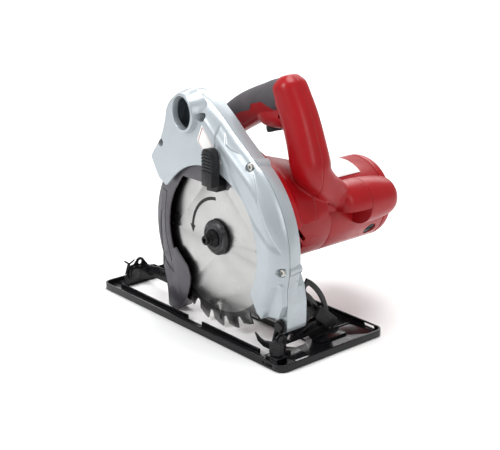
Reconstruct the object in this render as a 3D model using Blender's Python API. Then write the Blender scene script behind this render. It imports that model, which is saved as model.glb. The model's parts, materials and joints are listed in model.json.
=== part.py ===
"""Circular saw, 210 mm blade: pressed base, tilting and plunging head, guards, gear drive, motor and D handle.

Lengths are in millimetres here and become metres in the mesh. X runs forward along the cut, Y towards the
motor, Z up. The origin is the centre of the base plate's underside.
"""

import math

import bmesh
import bpy
from mathutils import Matrix, Vector

MM = 0.001
OBJECT_NAME = "circular_saw"

# base plate
BASE_LENGTH = 328.0
BASE_WIDTH = 156.8
BASE_CORNER = 10.0
SHEET = 2.0
RIM_HEIGHT = 8.2
RIM_WALL = 2.2
OPEN_REAR = -146.0
OPEN_FRONT = 126.0
OPEN_NEAR = -61.4
OPEN_FAR = -1.6
GUIDE_X = 142.0

# blade and drive axes: (x, z) of lines that run along Y
SPINDLE = (20.9, 107.1)
BLADE_Y = -44.4
BLADE_RADIUS = 105.0
TEETH = 24
TOOTH_PHASE = -55.1
MODULE = 1.1
GEAR_TEETH = 42
PINION_TEETH = 10
CENTRE_DISTANCE = MODULE * (GEAR_TEETH + PINION_TEETH) / 2
CENTRE_ANGLE = 32.0
MOTOR = (
    SPINDLE[0] + CENTRE_DISTANCE * math.cos(math.radians(CENTRE_ANGLE)),
    SPINDLE[1] + CENTRE_DISTANCE * math.sin(math.radians(CENTRE_ANGLE)),
)

# adjustments
PIVOT = (128.0, 34.0)
BEVEL_Y = -43.4
BEVEL_Z = 16.0
BEVEL_SLOT_RADIUS = 63.0
BEVEL_REST_ANGLE = 6.0
DEPTH_BOLT = (-60.0, 166.0)
DEPTH_RANGE = 35.0
BEVEL_RANGE = 45.0

# guards
COVER_Y = -61.4
GUARD_SPLIT = -45.0
GUARD_FAR = -27.0
GUARD_WALL = 2.5
GUARD_RADIUS = 119.5
LOWER_NEAR = -52.6
LOWER_FAR = -35.3
LOWER_RADIUS = 110.0

# motor and handle
MOTOR_RADIUS = 49.0
HOUSING_START = -7.7
HOUSING_END = 150.0
CAP_END = 165.6
HANDLE_Y = 18.6
SEAM_Z = 136.5
AUX = (98.6, 139.0)
AUX_SPLIT = 95.0
BRUSH_Y = 133.0
BRUSH_ANGLE = -36.0
GUIDE_SCREW_Y = -65.4
TRIGGER_PIVOT = (59.5, 240.0)
LOCK = (71.3, 248.7)

GRIP_SKIN = 1.8

GAP = 0.3


# ---------------------------------------------------------------- scene and materials


def clear_scene():
    for obj in list(bpy.data.objects):
        bpy.data.objects.remove(obj, do_unlink=True)


def new_collection(name):
    made = bpy.data.collections.new(name)
    bpy.context.scene.collection.children.link(made)
    return made


def new_material(name, colour, roughness, metallic):
    made = bpy.data.materials.new(name)
    made.use_nodes = True
    shader = made.node_tree.nodes["Principled BSDF"]
    shader.inputs["Base Color"].default_value = (*colour, 1.0)
    shader.inputs["Roughness"].default_value = roughness
    shader.inputs["Metallic"].default_value = metallic
    made.diffuse_color = (*colour, 1.0)
    return made


clear_scene()
PARTS = new_collection(OBJECT_NAME)
HELPERS = new_collection(OBJECT_NAME + "_cutters")
LOOKS = {
    "silver": new_material("silver_paint", (0.62, 0.66, 0.70), 0.35, 0.2),
    "red": new_material("red_plastic", (0.55, 0.02, 0.025), 0.42, 0.0),
    "grip": new_material("soft_grip", (0.09, 0.085, 0.1), 0.8, 0.0),
    "guard": new_material("dark_guard", (0.11, 0.10, 0.13), 0.4, 0.3),
    "black": new_material("black_gloss", (0.01, 0.01, 0.012), 0.2, 0.2),
    "plastic": new_material("black_plastic", (0.02, 0.02, 0.022), 0.5, 0.0),
    "steel": new_material("bright_steel", (0.6, 0.6, 0.6), 0.3, 1.0),
    "copper": new_material("copper", (0.6, 0.3, 0.15), 0.35, 1.0),
    "carbon": new_material("carbon", (0.03, 0.03, 0.03), 0.7, 0.0),
    "label": new_material("label_white", (0.85, 0.85, 0.85), 0.5, 0.0),
}


# ---------------------------------------------------------------- shape helpers


def finish_mesh(name, shape, look, part=True, sharp=35.0):
    """Makes an object from a bmesh in millimetres, as a part or as a helper that only cuts or joins."""
    bmesh.ops.remove_doubles(shape, verts=shape.verts, dist=0.001)
    bmesh.ops.recalc_face_normals(shape, faces=shape.faces)
    bmesh.ops.scale(shape, vec=Vector((MM, MM, MM)), verts=shape.verts)
    for face in shape.faces:
        face.smooth = True
    for edge in shape.edges:
        if edge.is_manifold and edge.calc_face_angle(0.0) > math.radians(sharp):
            edge.smooth = False
    mesh = bpy.data.meshes.new(name)
    shape.to_mesh(mesh)
    shape.free()
    obj = bpy.data.objects.new(name, mesh)
    (PARTS if part else HELPERS).objects.link(obj)
    if part:
        mesh.materials.append(LOOKS[look])
    else:
        obj.hide_render = True
        obj.display_type = "WIRE"
    return obj


def boolean(target, tool, operation):
    step = target.modifiers.new(operation.lower() + "_" + tool.name[:40], "BOOLEAN")
    step.operation = operation
    step.solver = "EXACT"
    step.object = tool


def cut(target, *tools):
    for tool in tools:
        boolean(target, tool, "DIFFERENCE")


def join(target, *tools):
    for tool in tools:
        boolean(target, tool, "UNION")


def keep(target, tool):
    boolean(target, tool, "INTERSECT")


def placed(axis, u, v, w):
    """A point from two outline coordinates and a position along the extrusion axis."""
    if axis == "x":
        return (w, u, v)
    if axis == "y":
        return (u, w, v)
    return (u, v, w)


def loft(rings):
    """A closed bmesh through rings of equal point counts, capped at both ends."""
    shape = bmesh.new()
    rows = [[shape.verts.new(point) for point in ring] for ring in rings]
    count = len(rows[0])
    for low, high in zip(rows, rows[1:]):
        for i in range(count):
            j = (i + 1) % count
            shape.faces.new((low[i], low[j], high[j], high[i]))
    shape.faces.new(rows[0])
    shape.faces.new(rows[-1])
    return shape


def prism(name, outline, start, end, axis, look=None):
    """An outline pulled along an axis. A look makes it a part, none makes it a helper."""
    shape = bmesh.new()
    face = shape.faces.new([shape.verts.new(placed(axis, u, v, start)) for u, v in outline])
    pulled = bmesh.ops.extrude_face_region(shape, geom=[face])
    moved = [v for v in pulled["geom"] if isinstance(v, bmesh.types.BMVert)]
    bmesh.ops.translate(shape, vec=placed(axis, 0.0, 0.0, end - start), verts=moved)
    return finish_mesh(name, shape, look, part=look is not None)


def box(name, low, high, look=None):
    shape = bmesh.new()
    size = [b - a for a, b in zip(low, high)]
    middle = [(a + b) / 2 for a, b in zip(low, high)]
    bmesh.ops.create_cube(shape, size=1.0, matrix=Matrix.LocRotScale(middle, None, size))
    return finish_mesh(name, shape, look, part=look is not None)


def arc(centre, radius, start, end, steps):
    """Points on an arc, angles in degrees."""
    points = []
    for i in range(steps + 1):
        angle = math.radians(start + (end - start) * i / steps)
        points.append((centre[0] + radius * math.cos(angle), centre[1] + radius * math.sin(angle)))
    return points


def circle(centre, radius, steps):
    return arc(centre, radius, 0.0, 360.0, steps)[:-1]


def rounded_rectangle(low, high, radius, steps=3):
    corners = (
        ((high[0] - radius, low[1] + radius), -90.0),
        ((high[0] - radius, high[1] - radius), 0.0),
        ((low[0] + radius, high[1] - radius), 90.0),
        ((low[0] + radius, low[1] + radius), 180.0),
    )
    points = []
    for centre, start in corners:
        points += arc(centre, radius, start, start + 90.0, steps)
    return points


def slot_outline(start, end, radius, steps=5):
    """A straight slot between two centres."""
    angle = math.degrees(math.atan2(end[1] - start[1], end[0] - start[0]))
    return arc(end, radius, angle - 90, angle + 90, steps) + arc(start, radius, angle + 90, angle + 270, steps)


def band(centre, inner, outer, start, end, steps):
    """A piece of a ring."""
    return arc(centre, outer, start, end, steps) + arc(centre, inner, end, start, steps)


def bent_slot(centre, radius, half_width, start, end, steps):
    """A slot that follows an arc, with round ends."""
    first = arc(centre, radius, start, start, 1)[0]
    last = arc(centre, radius, end, end, 1)[0]
    points = arc(centre, radius + half_width, start, end, steps)
    points += arc(last, half_width, end, end + 180, 4)[1:-1]
    points += arc(centre, radius - half_width, end, start, steps)
    points += arc(first, half_width, start + 180, start + 360, 4)[1:-1]
    return points


def spun(centre, profile, steps, axis, closed):
    """A bmesh swept by turning a profile of (radius, position) pairs once about an axis."""
    shape = bmesh.new()
    points = [shape.verts.new(placed(axis, centre[0] + radius, centre[1], at)) for radius, at in profile]
    lines = [shape.edges.new(pair) for pair in zip(points, points[1:])]
    if closed:
        lines.append(shape.edges.new((points[-1], points[0])))
    bmesh.ops.spin(
        shape,
        geom=points + lines,
        cent=placed(axis, centre[0], centre[1], 0.0),
        axis=placed(axis, 0.0, 0.0, 1.0),
        angle=2 * math.pi,
        steps=steps,
        use_merge=True,
    )
    return shape


def turned(name, centre, profile, look=None, steps=24, axis="y"):
    """A turned solid: profile is (radius, position) pairs from one end to the other, closed by flat ends."""
    shape = spun(centre, profile, steps, axis, closed=False)
    bmesh.ops.holes_fill(shape, edges=shape.edges, sides=0)
    return finish_mesh(name, shape, look, part=look is not None)


def tube(name, centre, inner, outer, start, end, look=None, steps=24, axis="y"):
    """A ring with a square section."""
    profile = [(outer, start), (outer, end), (inner, end), (inner, start)]
    shape = spun(centre, profile, steps, axis, closed=True)
    return finish_mesh(name, shape, look, part=look is not None)


def hull(name, points, look=None):
    shape = bmesh.new()
    for point in points:
        shape.verts.new(point)
    made = bmesh.ops.convex_hull(shape, input=shape.verts)
    loose = [v for v in made["geom_interior"] if isinstance(v, bmesh.types.BMVert)]
    bmesh.ops.delete(shape, geom=loose, context="VERTS")
    bmesh.ops.dissolve_limit(
        shape, angle_limit=math.radians(0.5), verts=shape.verts, edges=shape.edges
    )
    return finish_mesh(name, shape, look, part=look is not None)


def swept(name, stations, look=None, steps=16):
    """A tube with oval sections. A station is (x, y, z, half size in the XZ plane, half width along Y)."""
    rings = []
    for i, (x, y, z, tall, wide) in enumerate(stations):
        before = stations[max(i - 1, 0)]
        after = stations[min(i + 1, len(stations) - 1)]
        along = Vector((after[0] - before[0], after[1] - before[1], after[2] - before[2])).normalized()
        across = Vector((0.0, 1.0, 0.0))
        across = (across - along * across.dot(along)).normalized()
        up = along.cross(across)
        ring = []
        for k in range(steps):
            turn = 2 * math.pi * k / steps
            point = Vector((x, y, z)) + across * wide * math.cos(turn) + up * tall * math.sin(turn)
            ring.append(tuple(point))
        rings.append(ring)
    return finish_mesh(name, loft(rings), look, part=look is not None, sharp=50.0)


def around(centre, radius, angle):
    turn = math.radians(angle)
    return (centre[0] + radius * math.cos(turn), centre[1] + radius * math.sin(turn))


# ---------------------------------------------------------------- base


def base_plate():
    half_x, half_y = BASE_LENGTH / 2, BASE_WIDTH / 2
    outer = rounded_rectangle((-half_x, -half_y), (half_x, half_y), BASE_CORNER, 4)
    inner = rounded_rectangle(
        (-half_x + RIM_WALL, -half_y + RIM_WALL),
        (half_x - RIM_WALL, half_y - RIM_WALL),
        BASE_CORNER - RIM_WALL,
        4,
    )
    plate = prism("base_plate", outer, 0.0, RIM_HEIGHT, "z", "black")
    cut(plate, prism("base_tray", inner, SHEET, RIM_HEIGHT + 5, "z"))
    lip = 2.2
    lips = [
        box("lip_near_rear", (OPEN_REAR, OPEN_NEAR - lip, 1.0), (-13.0, OPEN_NEAR, 7.0)),
        box("lip_near_front", (13.0, OPEN_NEAR - lip, 1.0), (112.0, OPEN_NEAR, 7.0)),
        box("lip_far", (40.0, OPEN_FAR, 1.0), (112.0, OPEN_FAR + lip, 7.0)),
        box("rib_front", (116.5, 12.0, 1.0), (118.5, 72.0, 3.2)),
    ]
    join(plate, *lips)
    opening = [
        (OPEN_REAR, OPEN_NEAR),
        (118.0, OPEN_NEAR),
        (118.0, -29.0),
        (OPEN_FRONT, -22.4),
        (OPEN_FRONT, OPEN_FAR - 6),
        (OPEN_FRONT - 6, OPEN_FAR),
        (OPEN_REAR, OPEN_FAR),
    ]
    cut(plate, prism("base_opening", opening, -5.0, 30.0, "z"))
    cut(plate, box("base_floor_slot", (147.0, -46.0, -5.0), (155.0, -25.0, 12.0)))
    guide = rounded_rectangle((GUIDE_X - 8.0, 2.9), (GUIDE_X + 8.0, 6.4), 0.8, 1)
    cut(plate, prism("guide_slots", guide, -half_y - 5, half_y + 5, "y"))
    return plate


def front_bracket():
    """The fixed bridge across the front of the opening, with the bevel quadrant and a stop horn."""
    pivot = (BEVEL_Y, BEVEL_Z)
    low, high = 124.0, 126.0
    outline = [(-52.4, SHEET + GAP), (-36.4, SHEET + GAP), (-36.4, 9.3), (-3.0, 9.3), (1.0, 6.0)]
    outline += [(3.9, SHEET + GAP), (44.0, SHEET + GAP), (44.0, 8.0)]
    outline += arc(pivot, 72.5, -5.0, 59.5, 10)
    outline += arc(pivot, 53.5, 59.5, 10.0, 8)
    outline += [(-12.0, 24.0), (-38.0, 24.0)]
    outline += arc(pivot, 9.0, 80.0, 180.0, 5)
    plate = prism("front_bracket", outline, low, high, "x", "black")
    foot = box("bracket_foot", (high - 1.0, 3.9, SHEET + GAP), (138.0, 44.0, SHEET + GAP + SHEET))
    near_foot = box("bracket_near_foot", (high - 1.0, -52.4, SHEET + GAP), (134.0, -36.4, SHEET + GAP + SHEET))
    web = box("bracket_web", (low, -57.6, 8.4), (high, -50.0, 18.0))
    horn = [(125.0, 8.4), (125.0, 18.0), (113.0, 15.5), (106.0, 16.4), (98.0, 20.5), (103.0, 12.0), (112.0, 8.4)]
    spur = prism("bracket_horn", horn, -57.6, -55.6, "y")
    join(plate, foot, near_foot, web, spur)
    cuts = [
        turned("bracket_pivot_hole", pivot, [(4.4, 115.0), (4.4, 135.0)], steps=16, axis="x"),
        turned("bracket_round_hole", (-30.5, 16.3), [(4.2, 115.0), (4.2, 135.0)], steps=16, axis="x"),
        turned("bracket_small_hole", (-8.0, 14.6), [(1.8, 115.0), (1.8, 135.0)], steps=12, axis="x"),
        prism(
            "bevel_slot",
            bent_slot(pivot, BEVEL_SLOT_RADIUS, 3.6, BEVEL_REST_ANGLE - 1, BEVEL_REST_ANGLE + BEVEL_RANGE + 1, 10),
            115.0,
            135.0,
            "x",
        ),
    ]
    cut(plate, *cuts)
    return plate


def rear_bracket():
    """The fixed upstand behind the opening, with its foot on the plate."""
    pivot = (BEVEL_Y, BEVEL_Z)
    outline = [(-57.0, SHEET + GAP), (-4.0, SHEET + GAP), (-4.0, 15.0), (-10.0, 19.0), (-20.0, 20.5)]
    outline += arc((-33.0, 27.5), 6.4, 20.0, 160.0, 5)
    outline += arc(pivot, 10.5, 85.0, 185.0, 5)
    outline += [(-57.0, 12.0)]
    plate = prism("rear_bracket", outline, -148.4, -146.4, "x", "black")
    join(plate, box("rear_bracket_foot", (-160.0, -57.0, SHEET + GAP), (-147.4, -4.0, 2 * SHEET + GAP)))
    wing = [(-56.0, 16.0), (-48.0, 20.0), (-48.0, 27.6), (-41.0, 31.4), (-41.0, 33.0), (-49.0, 29.6)]
    wing += [(-54.0, 33.6), (-56.6, 34.6), (-56.6, 32.8), (-51.6, 29.0)]
    join(plate, prism("rear_wing", wing, -148.0, -146.8, "x"))
    cut(plate, turned("rear_pivot_hole", pivot, [(4.4, -160.0), (4.4, -135.0)], steps=16, axis="x"))
    cut(plate, turned("rear_loop_hole", (-33.0, 27.8), [(2.8, -160.0), (2.8, -135.0)], steps=12, axis="x"))
    cut(plate, turned("rear_small_hole", (-22.0, 13.0), [(2.6, -160.0), (2.6, -135.0)], steps=12, axis="x"))
    return plate


def pivot_bolt(name, head, tip):
    """A bevel pivot rivet along X: a domed head outside the bracket and a peened collar at its tip."""
    out = 1.0 if head > tip else -1.0
    profile = [
        (6.0, tip),
        (6.0, tip + out * 1.4),
        (4.0, tip + out * 1.5),
        (4.0, head + out * 0.5),
        (6.6, head + out * 0.6),
        (6.6, head + out * 2.2),
        (4.2, head + out * 4.2),
    ]
    return turned(name, (BEVEL_Y, BEVEL_Z), profile, "black", steps=16, axis="x")


def guide_clamp():
    """The thumb screw for the rip guide, and the pressed saddle it runs in."""
    centre = (GUIDE_X, GUIDE_SCREW_Y)
    saddle = box("guide_saddle", (GUIDE_X - 9.0, -73.0, SHEET + GAP), (GUIDE_X + 9.0, -57.8, 10.6), "black")
    cut(saddle, box("saddle_inside", (GUIDE_X - 12.0, -71.0, 0.0), (GUIDE_X + 12.0, -59.8, 8.6)))
    cut(saddle, turned("saddle_hole", centre, [(2.9, 0.0), (2.9, 20.0)], steps=12, axis="z"))
    screw = turned(
        "guide_screw",
        centre,
        [(2.4, 6.9), (2.4, 11.0), (5.2, 11.2), (5.2, 13.0)],
        "plastic",
        steps=16,
        axis="z",
    )
    wing = rounded_rectangle((GUIDE_X - 8.2, 12.0), (GUIDE_X + 8.2, 25.0), 1.2, 2)
    paddle = prism("guide_paddle", wing, -69.4, -61.4, "y")
    join(screw, paddle)
    for height in (15.6, 18.6, 21.6):
        for side in (-69.4, -61.4):
            groove = box("paddle_groove", (GUIDE_X - 12, side - 0.6, height), (GUIDE_X + 12, side + 0.6, height + 1))
            cut(screw, groove)
    return saddle, screw


# ---------------------------------------------------------------- tilting bracket and depth quadrant


def tilt_bracket():
    """The bracket that turns on the bevel axis and holds the depth pivot between two ears."""
    pivot = (BEVEL_Y, BEVEL_Z)
    low, high = 120.8, 123.0
    bolt = around(pivot, BEVEL_SLOT_RADIUS, BEVEL_REST_ANGLE)
    outline = arc(pivot, 9.4, 175.0, 290.0, 5)
    outline += [(-34.0, 9.6), (10.0, 12.6)]
    outline += arc(bolt, 9.0, -80.0, 80.0, 5)
    outline += [(4.0, 27.0), (-12.6, 27.0), (-15.2, 24.6), (-45.9, 24.6), (-48.6, 29.0), (-51.2, 22.2)]
    plate = prism("tilt_bracket", outline, low, high, "x", "black")
    near_ear = [(low, 18.0), (123.2, 20.0), (123.4, 26.4)] + arc(PIVOT, 7.7, -75.0, 125.0, 8) + [(low, 36.0)]
    far_ear = [(low, 24.0), (123.2, 24.4), (123.4, 26.4)] + arc(PIVOT, 7.7, -75.0, 135.0, 8) + [(low, 38.0)]
    join(plate, prism("near_ear", near_ear, -48.4, -46.2, "y"))
    join(plate, prism("far_ear", far_ear, -15.0, -12.8, "y"))
    cut(plate, turned("tilt_pivot_hole", pivot, [(4.4, 110.0), (4.4, 123.5)], steps=16, axis="x"))
    cut(plate, turned("tilt_bolt_hole", bolt, [(3.4, 110.0), (3.4, 130.0)], steps=12, axis="x"))
    cut(plate, turned("ear_pin_hole", PIVOT, [(4.4, -60.0), (4.4, 0.0)], steps=16))
    cut(plate, turned("tilt_window", (-30.5, 16.3), [(5.2, 110.0), (5.2, 123.5)], steps=16, axis="x"))
    return plate


def depth_pin():
    profile = [(5.4, -51.4), (6.0, -50.6), (6.0, -48.9), (4.0, -48.7), (4.0, -12.5), (5.8, -12.4), (5.8, -10.4)]
    return turned("depth_pivot_pin", PIVOT, profile, "black", steps=16)


def bevel_clamp():
    """The carriage bolt and the lever that locks the bevel."""
    bolt = around((BEVEL_Y, BEVEL_Z), BEVEL_SLOT_RADIUS, BEVEL_REST_ANGLE)
    screw = turned(
        "bevel_clamp_bolt",
        bolt,
        [(6.0, 118.0), (6.0, 120.5), (3.0, 120.6), (3.0, 131.0)],
        "steel",
        steps=16,
        axis="x",
    )
    lever = turned("bevel_lever", bolt, [(7.4, 126.6), (7.4, 131.6), (5.6, 133.6)], "plastic", steps=16, axis="x")
    centre = (bolt[0] - 1.5, bolt[1] + 5.0)
    along = Vector((20.4, -16.0)).normalized()
    across = Vector((-along.y, along.x))
    corners = []
    for u, v in ((-17.0, -6.0), (-13.0, -8.0), (16.0, -6.6), (19.0, 0.0), (16.0, 6.6), (-13.0, 8.0), (-17.0, 6.0)):
        corners.append((centre[0] + along.x * u + across.x * v, centre[1] + along.y * u + across.y * v))
    join(lever, prism("lever_tab", corners, 128.6, 133.0, "x"))
    cut(lever, turned("lever_bore", bolt, [(3.3, 120.0), (3.3, 132.0)], steps=12, axis="x"))
    return screw, lever


def depth_quadrant():
    """The slotted arc behind the guard that the depth clamp slides in. It tilts with the head."""
    start = math.degrees(math.atan2(DEPTH_BOLT[1] - PIVOT[1], DEPTH_BOLT[0] - PIVOT[0]))
    radius = math.hypot(DEPTH_BOLT[0] - PIVOT[0], DEPTH_BOLT[1] - PIVOT[1])
    near, far = -24.4, -22.2
    outline = band(PIVOT, radius - 8.5, radius + 8.5, start - 3.0, start + DEPTH_RANGE + 3.4, 14)
    arm = prism("depth_quadrant", outline, near, far, "y", "black")
    tail = [(-143.0, 10.0), (-91.0, 10.0), (-91.0, 26.0), (-120.0, 26.0), (-143.0, 22.0)]
    join(arm, prism("quadrant_tail", tail, near, far, "y"))
    pivot = (BEVEL_Y, BEVEL_Z)
    lug = arc(pivot, 9.0, 90.0, 270.0, 6) + [(far, 9.0), (far, 23.0), (-30.0, 23.0)]
    join(arm, prism("quadrant_lug", lug, -145.6, -143.4, "x"))
    join(arm, box("quadrant_corner", (-145.6, near, 10.0), (-140.0, far, 22.0)))
    slot = bent_slot(PIVOT, radius, 3.7, start - 0.3, start + DEPTH_RANGE + 0.8, 14)
    cut(arm, prism("quadrant_slot", slot, near - 5, far + 5, "y"))
    cut(arm, turned("quadrant_hole", pivot, [(4.4, -155.0), (4.4, -142.0)], steps=16, axis="x"))
    return arm


def depth_clamp():
    """The bolt through the quadrant, fixed in the guard, and its lever."""
    bolt = turned(
        "depth_clamp_bolt",
        DEPTH_BOLT,
        [(5.2, -32.8), (5.2, -30.0), (3.0, -29.8), (3.0, -16.0)],
        "steel",
        steps=16,
    )
    lever = turned("depth_lever", DEPTH_BOLT, [(8.0, -21.6), (8.0, -15.5), (6.4, -13.6)], "plastic", steps=16)
    arm = slot_outline(DEPTH_BOLT, (DEPTH_BOLT[0] - 10.0, DEPTH_BOLT[1] - 44.0), 6.0, 5)
    join(lever, prism("depth_lever_arm", arm, -20.0, -15.0, "y"))
    cut(lever, turned("depth_lever_bore", DEPTH_BOLT, [(3.3, -30.0), (3.3, -15.2)], steps=12))
    return bolt, lever


# ---------------------------------------------------------------- upper guard


def guard_path(inset):
    """The outer line of the upper guard from its front foot to the rear lobe, moved in by inset times a share."""
    path = [(p, 1.0) for p in arc(SPINDLE, GUARD_RADIUS, -29.0, 58.0, 8)]
    path += [((56.0, 228.5), 0.9), ((29.0, 249.5), 0.75), ((6.0, 263.0), 0.6), ((-17.0, 268.5), 0.5)]
    path += [((-38.0, 264.0), 0.4), ((-52.0, 249.0), 0.35), ((-57.0, 229.0), 0.3), ((-66.0, 210.0), 0.3)]
    path += [((-86.0, 186.0), 0.25), ((-80.0, 172.0), 0.2), ((-67.0, 158.0), 0.1)]
    points = []
    for i, ((x, z), share) in enumerate(path):
        before = path[max(i - 1, 0)][0]
        after = path[min(i + 1, len(path) - 1)][0]
        along = Vector((after[0] - before[0], after[1] - before[1])).normalized()
        points.append((x - along.y * inset * share, z + along.x * inset * share))
    return points


def arch_path(radius):
    """The inner line of the guard's near wall, from the rear lobe round to the front foot."""
    path = [around(SPINDLE, radius + 2.0, 147.0)]
    path += arc(SPINDLE, radius, 140.0, -30.0, 14)
    path += [(105.0, 46.0), (113.0, 41.0)]
    return path


def guard_rings(levels, radius):
    """Rings of the guard at (y, inset) levels, with the opening for the blade at a radius."""
    rings = []
    for y, inset in levels:
        ring = guard_path(inset) + arch_path(radius)
        rings.append([(x, y, z) for x, z in ring])
    return rings


def guard_inside(name, levels):
    """The space inside the guard, open towards the blade."""
    rings = []
    for y, inset in levels:
        ring = guard_path(inset + GUARD_WALL)[:-1] + [(-75.0, 148.0)]
        ring += [around(SPINDLE, 58.0, a) for a in (165.0, 60.0, -46.0)]
        rings.append([(x, y, z) for x, z in ring])
    return finish_mesh(name, loft(rings), None, part=False)


def port_points(distance, radius, steps=18):
    """A ring round the dust port's axis, which leans a little to the rear."""
    lean = math.radians(7.0)
    out = Vector((-math.sin(lean), -math.cos(lean), 0.0))
    side = Vector((math.cos(lean), -math.sin(lean), 0.0))
    centre = Vector((-13.0, -67.4, 246.0)) - out * distance
    ring = []
    for k in range(steps):
        turn = 2 * math.pi * k / steps
        ring.append(tuple(centre + side * radius * math.cos(turn) + Vector((0, 0, 1)) * radius * math.sin(turn)))
    return ring


COVER_SCREWS = ((14.0, 245.0), (84.0, 202.8), (135.4, 98.5), (-60.0, 203.5))


LEG = [(112.0, 43.0), (118.0, 43.0), (131.5, 45.0), (137.0, 60.0), (136.0, 84.0), (124.0, 88.0)]


def guard_sweep(name):
    """The space the lower guard swings through, with clearance."""
    profile = [(102.9, -57.5), (102.9, LOWER_NEAR - 1.0), (111.4, LOWER_NEAR + 8.4), (112.6, -33.4)]
    return turned(name, SPINDLE, profile, steps=40)


def upper_guard_cover():
    levels = [(COVER_Y, 17.5), (-59.6, 12.8), (-54.5, 6.6), (-49.5, 2.4), (GUARD_SPLIT - GAP / 2, 0.2)]
    cover = finish_mesh("upper_guard_cover", loft(guard_rings(levels, 84.0)), "silver", sharp=50.0)
    inner = [(COVER_Y + GUARD_WALL, 17.5), (-56.8, 12.8), (-52.6, 6.6), (-48.6, 2.4), (GUARD_SPLIT + 5, 0.2)]
    cut(cover, guard_inside("cover_inside", inner))
    port = [port_points(d, r) for d, r in ((0.0, 20.4), (1.2, 21.6), (7.0, 22.6), (12.0, 24.0), (19.0, 25.5))]
    horn = finish_mesh("dust_port", loft(port), None, part=False)
    join(cover, horn)
    bore = [port_points(d, 18.0) for d in (-6.0, 30.0)]
    cut(cover, finish_mesh("dust_bore", loft(bore), None, part=False))
    join(cover, prism("cover_leg", LEG, -54.0, GUARD_SPLIT + 4, "y"))
    half = box("cover_trim", (-120.0, GUARD_SPLIT - GAP / 2, -20.0), (200.0, 60.0, 320.0))
    for i, (x, z) in enumerate(COVER_SCREWS):
        boss = turned(f"cover_boss_{i}", (x, z), [(5.8, -57.0), (6.6, -54.6), (6.8, GUARD_SPLIT + 3)], steps=12)
        join(cover, boss)
    cut(cover, half, guard_sweep("cover_sweep"))
    for i, (x, z) in enumerate(COVER_SCREWS):
        cut(cover, turned(f"cover_recess_{i}", (x, z), [(5.0, -80.0), (5.0, -49.5)], steps=12))
        cut(cover, turned(f"cover_screw_hole_{i}", (x, z), [(2.4, -60.0), (2.4, -40.0)], steps=8))
    return cover


def cover_screw(index, x, z):
    profile = [(4.0, -52.6), (4.0, -49.8), (2.0, -49.7), (2.0, -38.0)]
    screw = turned(f"cover_screw_{index}", (x, z), profile, "steel", steps=10)
    cut(screw, prism(f"cover_hex_{index}", circle((x, z), 2.1, 6), -60.0, -51.0, "y"))
    return screw


def upper_guard_body():
    """The far half of the guard with the wall that carries the gear case, and the front lug."""
    levels = [(GUARD_SPLIT + GAP / 2, 0.2), (-38.0, 0.8), (GUARD_FAR, 3.5)]
    body = finish_mesh("upper_guard_body", loft(guard_rings(levels, 112.0)), "silver", sharp=50.0)
    wall = guard_path(4.0) + [(-52.0, 140.0), (-36.0, 112.0), (-18.0, 84.0), (20.0, 70.0), (60.0, 68.0), (100.0, 52.0)]
    join(body, prism("guard_far_wall", wall, GUARD_FAR - GUARD_WALL, GUARD_FAR, "y"))
    inner = [(-60.0, 0.2), (-38.0, 0.8), (GUARD_FAR - GUARD_WALL, 3.2)]
    cut(body, guard_inside("body_inside", inner))
    for i, (x, z) in enumerate(COVER_SCREWS):
        join(body, turned(f"body_boss_{i}", (x, z), [(6.6, GUARD_SPLIT + GAP / 2), (5.2, GUARD_FAR - 0.5)], steps=12))
        cut(body, turned(f"body_screw_hole_{i}", (x, z), [(2.3, -60.0), (2.3, -37.0)], steps=8))
    lug = [(113.5, 56.0), (113.5, 42.0)] + arc(PIVOT, 8.4, 165.0, 360.0, 9) + [(136.4, 58.0), (133.0, 76.0), (126.0, 90.0)]
    join(body, prism("front_lug", lug, GUARD_SPLIT + GAP / 2, -17.0, "y"))
    join(body, prism("front_leg", LEG, GUARD_SPLIT + GAP / 2, -30.0, "y"))
    cut(body, guard_sweep("body_sweep"))
    cut(body, turned("lug_bore", PIVOT, [(4.3, -60.0), (4.3, 0.0)], steps=16))
    cut(body, turned("nose_hole", SPINDLE, [(17.0, -40.0), (17.0, -20.0)], steps=24))
    cut(body, turned("depth_bolt_hole", DEPTH_BOLT, [(3.3, -40.0), (3.3, -20.0)], steps=12))
    cut(body, turned("pinion_hole", MOTOR, [(9.0, -40.0), (9.0, -20.0)], steps=16))
    return body


# ---------------------------------------------------------------- lower guard


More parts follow.
